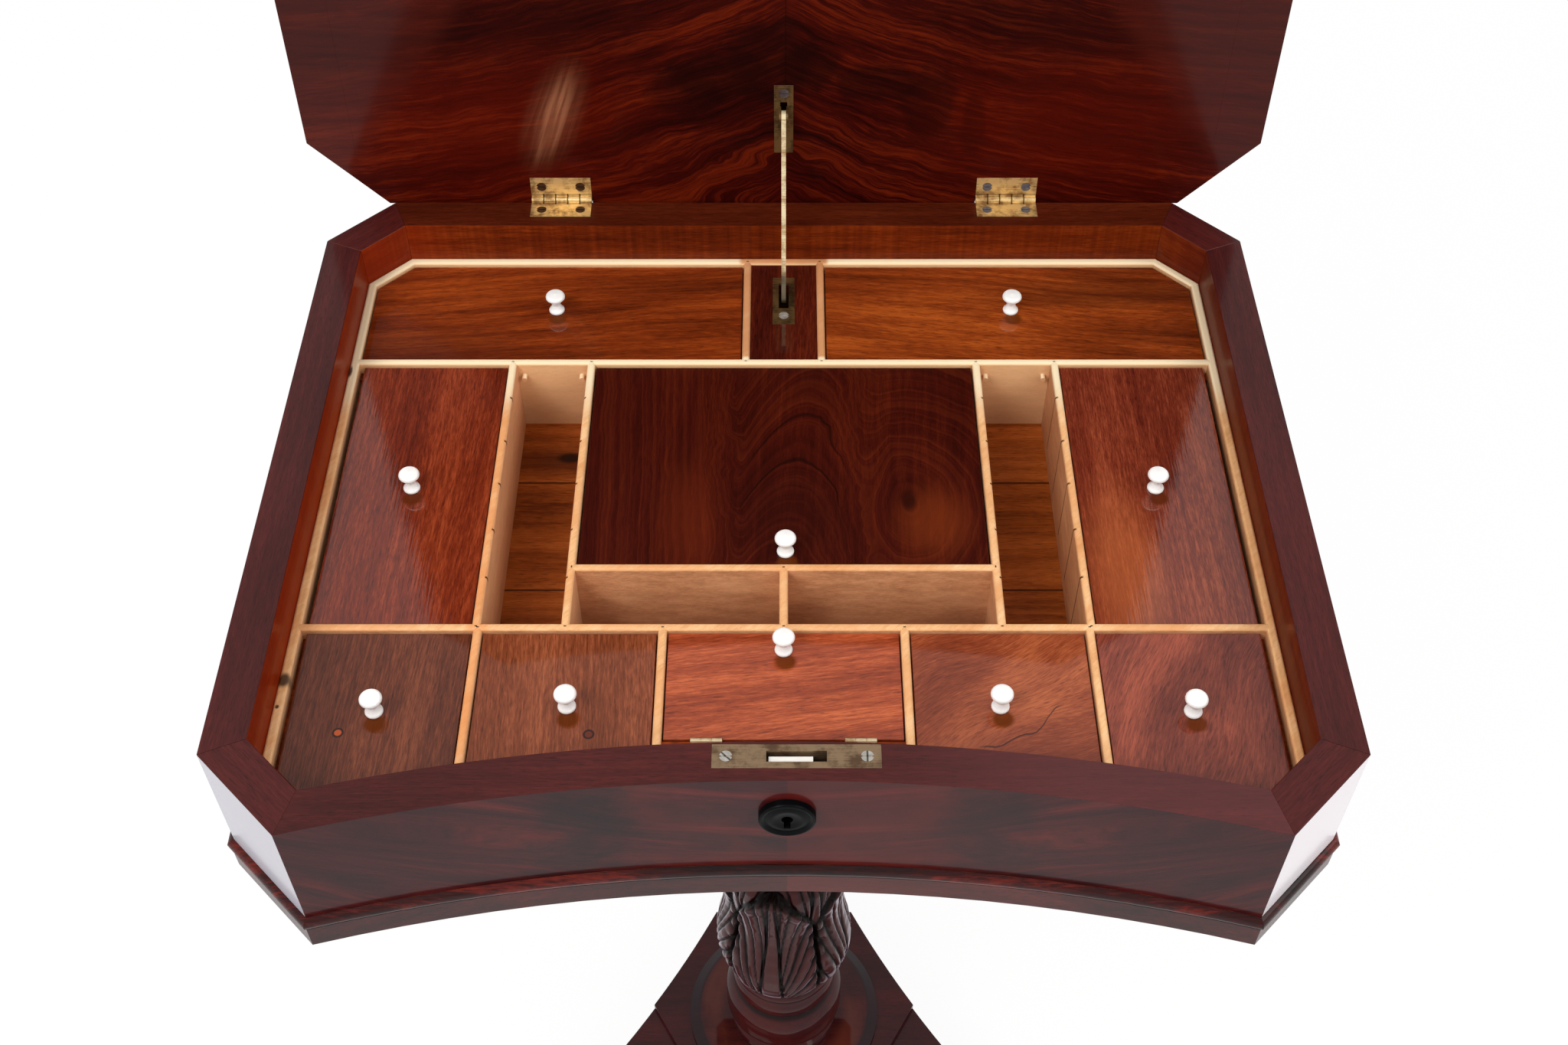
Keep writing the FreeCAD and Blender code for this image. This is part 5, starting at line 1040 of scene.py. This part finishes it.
# Depths of the carving in millimetres
FLUTE_DEEP = 2.3
RIB_GROOVE_DEEP = 2.2
LEAF_GAP_DEEP = 5.5
LEAF_CURVE = 1.6
ABOVE_TIP_DEEP = 2.0
UPPER_LEAF_DEEP = 3.6
LOBE_DEEP = 2.6
HEM_DEEP = 3.4


def bulb_radius(height):
    """The bulb's outline between its measured heights."""
    for (low, low_radius), (high, high_radius) in zip(BULB_PROFILE, BULB_PROFILE[1:]):
        if height <= high:
            share = (height - low) / (high - low)
            share = share * share * (3.0 - 2.0 * share) * 0.35 + share * 0.65
            return low_radius + (high_radius - low_radius) * share
    return BULB_PROFILE[-1][1]


def smooth_step(low, high, value):
    """A smooth step from 0 at low to 1 at high."""
    share = min(1.0, max(0.0, (value - low) / (high - low)))
    return share * share * (3.0 - 2.0 * share)


def leaf_relief(turn, up):
    """Depth in millimetres below the leaf's crown, and the painted shade that darkens its grooves, at a turn
    and a share up.

    Lower leaves stand in front; upper ones show between their tips. Across a leaf the side runs from -1 to 1,
    with the rib at 0, and the flutes fan out from the rib as they climb.
    """
    step = 360.0 / LEAF_COUNT
    lower = ((turn - FRONT_LEAF_TURN + step / 2.0) % step - step / 2.0) / (step / 2.0)
    upper = ((turn - FRONT_LEAF_TURN) % step - step / 2.0) / (step / 2.0)
    tip_line = 0.905 - 0.295 * abs(lower) ** 1.6
    on_lower = smooth_step(tip_line + 0.010, tip_line - 0.004, up)
    side = lower if on_lower > 0.5 else upper
    start = 0.0 if on_lower > 0.5 else 0.42
    climb = max(0.0, (up - start) / (1.0 - start))
    if side > 0.0:
        fan = side / (0.06 + 1.15 * climb ** 1.25)
    else:
        fan = -side / (0.26 + 0.85 * climb ** 1.2)
    phase = math.pi * 5.6 * fan / (1.0 + 0.5 * fan) + 0.5
    flutes = abs(math.sin(phase + 0.35 * math.sin(phase * 1.3))) ** 0.65
    rib_width = 0.19 * max(0.0, 1.0 - climb / 0.93) + 0.012
    on_rib = smooth_step(rib_width + 0.03, rib_width, abs(side))
    rib_groove = math.exp(-((abs(side) - rib_width - 0.045) / 0.030) ** 2)
    gap = smooth_step(0.90, 1.0, abs(side))
    depth = FLUTE_DEEP * (1.0 - flutes) * (1.0 - on_rib)
    depth += RIB_GROOVE_DEEP * rib_groove + LEAF_GAP_DEEP * gap + LEAF_CURVE * abs(side) ** 2
    near_tip = math.exp(-((up - tip_line + 0.02) / 0.055) ** 2) * on_lower
    depth += ABOVE_TIP_DEEP * smooth_step(0.62, 0.80, up) * (1.0 - near_tip)
    depth += UPPER_LEAF_DEEP * (1.0 - on_lower)
    margin = smooth_step(0.66, 0.92, abs(side)) * (1.0 - 0.8 * smooth_step(0.55, 0.30, up))
    lobes = abs(math.sin(up * 36.0 + 2.5 * abs(side)))
    depth += LOBE_DEEP * (1.0 - lobes) * margin
    pointed = 0.030 * abs(math.sin(math.pi * 2.0 * lower)) + 0.016
    hem = smooth_step(pointed + 0.012, pointed - 0.008, up)
    depth += HEM_DEEP * hem
    # Painted shadow under the leaf tips, and painted shade in the grooves, the hem and the lobes.
    painted_shadow_under_tip = math.exp(-((up - tip_line - 0.016) / 0.016) ** 2)
    groove = 0.95 * (1.0 - flutes) ** 1.2 * (1.0 - on_rib) + rib_groove + gap + painted_shadow_under_tip
    groove += 0.7 * hem + 0.7 * (1.0 - lobes) * margin
    return max(0.0, depth), min(1.0, groove)


def build_bulb(finish):
    """A spun outline whose surface is then carved inwards by the leaves."""
    mesh = bmesh.new()
    previous = None
    line = []
    for ring in range(BULB_RINGS + 1):
        height = BULB_BOTTOM + (BULB_TOP - BULB_BOTTOM) * ring / BULB_RINGS
        corner = mesh.verts.new((0.0, -bulb_radius(height), height))
        if previous is not None:
            line.append(mesh.edges.new((previous, corner)))
        previous = corner
    bmesh.ops.spin(mesh, geom=list(mesh.verts) + line, axis=(0.0, 0.0, 1.0), cent=ORIGIN, steps=BULB_STEPS,
                   angle=2.0 * math.pi, use_merge=True)
    bmesh.ops.remove_doubles(mesh, verts=mesh.verts, dist=TINY)
    groove_shade_layer = mesh.verts.layers.float.new("groove")
    for corner in mesh.verts:
        x, y, z = corner.co
        radius = math.hypot(x, y)
        turn = math.degrees(math.atan2(x, -y))
        up = (z - BULB_BOTTOM) / (BULB_TOP - BULB_BOTTOM)
        depth, groove = leaf_relief(turn, up)
        fade = smooth_step(0.0, 0.02, up) * smooth_step(1.0, 0.96, up)
        carved = radius - depth * MM * fade
        corner.co = (x / radius * carved, y / radius * carved, z)
        corner[groove_shade_layer] = groove * fade
    for end in (BULB_BOTTOM, BULB_TOP):
        open_edges = [edge for edge in mesh.edges if edge.is_boundary]
        rim = [edge for edge in open_edges if abs(edge.verts[0].co.z - end) < MERGE_REACH]
        bmesh.ops.contextual_create(mesh, geom=rim)
    bmesh.ops.recalc_face_normals(mesh, faces=mesh.faces)
    bmesh.ops.translate(mesh, verts=mesh.verts, vec=(0.0, COLUMN_Y, 0.0))
    finish_piece("acanthus_bulb", mesh, "table", finish, ["carved_bulb"])


# Room

OVERHEAD_DIMMING = 0.42
ROOM_LIGHT = 0.80
FLOOR_PAINT = (0.86, 0.86, 0.86, 1.0)
FLOOR_GLOW = 1.02
FLOOR_GLOW_SHARE = 0.90
FLOOR_REACH = 7.0


def light_room():
    """A white room: white where it is seen, dimmer as a light and where its ceiling is mirrored."""
    sky = Finish("white_room", world=True)
    bpy.context.scene.world = sky.material
    seen_ray = sky.node("ShaderNodeLightPath", None, None, "Is Camera Ray")
    clear_ray = sky.node("ShaderNodeLightPath", None, None, "Is Transmission Ray")
    glossy_ray = sky.node("ShaderNodeLightPath", None, None, "Is Glossy Ray")
    direction = sky.node("ShaderNodeTexCoord", None, None, "Generated")
    overhead = sky.rise(sky.parts(direction)[2], 0.15, 0.6)
    seen = sky.maths("MAXIMUM", seen_ray, clear_ray)
    mirrored = 1.0 - overhead * OVERHEAD_DIMMING
    unseen = glossy_ray * mirrored + (1.0 - glossy_ray) * ROOM_LIGHT
    strength = seen + (1.0 - seen) * unseen
    light = sky.node("ShaderNodeBackground", None, {"Color": WHITE, "Strength": strength})
    sky.node("ShaderNodeOutputWorld", None, {"Surface": light})


def lay_floor():
    """A pale floor that looks white and keeps the table's shadow."""
    ground = Finish("studio_floor")
    rays = [ground.node("ShaderNodeLightPath", None, None, "Is %s Ray" % kind)
            for kind in ("Camera", "Glossy", "Transmission")]
    looked_at = ground.maths("MAXIMUM", ground.maths("MAXIMUM", rays[0], rays[1]), rays[2])
    paint = ground.node("ShaderNodeBsdfDiffuse", None, {"Color": FLOOR_PAINT})
    glow = ground.node("ShaderNodeEmission", None, {"Color": WHITE, "Strength": FLOOR_GLOW})
    bright = ground.node("ShaderNodeMixShader", None, {0: FLOOR_GLOW_SHARE, 1: paint, 2: glow})
    surface = ground.node("ShaderNodeMixShader", None, {0: looked_at, 1: paint, 2: bright})
    ground.node("ShaderNodeOutputMaterial", None, {"Surface": surface})
    mesh = bmesh.new()
    bmesh.ops.create_grid(mesh, x_segments=2, y_segments=2, size=FLOOR_REACH)
    data = bpy.data.meshes.new("studio_floor")
    mesh.to_mesh(data)
    mesh.free()
    data.materials.append(ground.material)
    link(bpy.data.objects.new("studio_floor", data))


# Dressing the solids

# Height below which the stay strap's foot gets a painted shadow
STAY_SHADOW_BELOW = 0.758
FLAT_SOLIDS = ["back_rail", "canted_corners", "side_rails", "front_rail", "case_bottom", "plinth_base",
               "plinth_top", "support_block", "lock_plate", "case_hinge_leaves", "lid_hinge_leaves"]
LID_SOLIDS = ["lid_panel", "lid_end_clamps"]
LID_ROUNDING = 0.00008


def dress(name, finish):
    """Gives a CAD solid its finish."""
    for slot in nodes[name].material_slots:
        slot.material = finish


def fitting_finishes():
    """The finishes of metal, bone and ebonised pieces."""
    hinge_brass = aged_brass("hinge_brass", tone(250, 214, 148), tone(150, 106, 58), knuckles=True)
    strap_brass = aged_brass("strap_brass", tone(244, 224, 180), tone(176, 140, 92), metal=0.5)
    lock_brass = aged_brass("lock_brass", tone(154, 128, 98), tone(100, 75, 54), metal=0.6)
    stay_brass = aged_brass("stay_brass", tone(136, 106, 64), tone(64, 46, 24))
    screws = screw_metal()
    bone = turned_bone()
    finishes = {
        "case_hinge_leaves": hinge_brass, "lid_hinge_leaves": hinge_brass,
        "flap_hinge_fixed_leaves": strap_brass, "flap_hinge_lid_leaves": strap_brass,
        "lock_plate": lock_brass, "lock_case": lock_brass, "lid_catch_plate": lock_brass,
        "stay_lid_plate": stay_brass, "stay_case_plate": stay_brass,
        "stay_strap": aged_brass("stay_strap_brass", tone(244, 224, 180), tone(176, 140, 92), metal=0.5,
                                 painted_shadow_below=STAY_SHADOW_BELOW),
        "case_screws": screws, "lid_screws": screws,
        "lock_bolt": worn_steel(), "escutcheon": ebonised(),
    }
    for name in nodes:
        if name.endswith("_knob"):
            finishes[name] = bone
    return finishes


def dress_solids():
    """Finishes and softens every CAD solid, and builds the pieces that stand for some of them."""
    stand = stand_wood()
    maple = maple_wood()
    flame = lid_wood()
    flat_lids = bay_lid_finishes()
    finishes = {
        "back_rail": rail_wood("back_rail_wood", 0.0, seed=1.0, rim_tones=BACK_RIM_TONES, rim_coat=0.15),
        "side_rails": rail_wood("side_rail_wood", 90.0, seed=2.0),
        "canted_corners": rail_wood("canted_corner_wood", -45.0, mirrored=True, seed=3.0, painted_sheen=0.96),
        "front_rail": front_wood(),
        "case_bottom": floor_boards(),
        "case_moulding": moulding_wood(),
        "lid_panel": flame, "lid_end_clamps": flame,
        "lid_bearers": plank("bearer_wood", ORANGE_TONES, seed=12.0, coat=0.1),
        "well_pegs": maple,
        "plinth_base": stand, "plinth_top": stand, "base_disc": stand, "neck_rings": stand, "bun_feet": stand,
        "upper_column": stand, "column_cap": stand, "support_block": stand,
        **flat_lids, **fitting_finishes(),
    }
    for name, finish in finishes.items():
        dress(name, finish)
        if name in LID_SOLIDS:
            soften(nodes[name], LID_ROUNDING, 1)
        elif name in flat_lids or name in FLAT_SOLIDS:
            soften(nodes[name])
        else:
            smooth_turning(nodes[name])
    build_walls(maple)
    build_lining(maple)
    build_bulb(carved_wood())


bpy.context.scene.view_settings.view_transform = "Standard"
set_up_camera()
light_room()
lay_floor()
hang_lamp("soft_key", (-1.3, -1.2, 2.6), (1.4, 1.0), 30.0)
hang_lamp("soft_fill", (1.6, -0.8, 2.2), (1.6, 1.2), 12.0)
dress_solids()
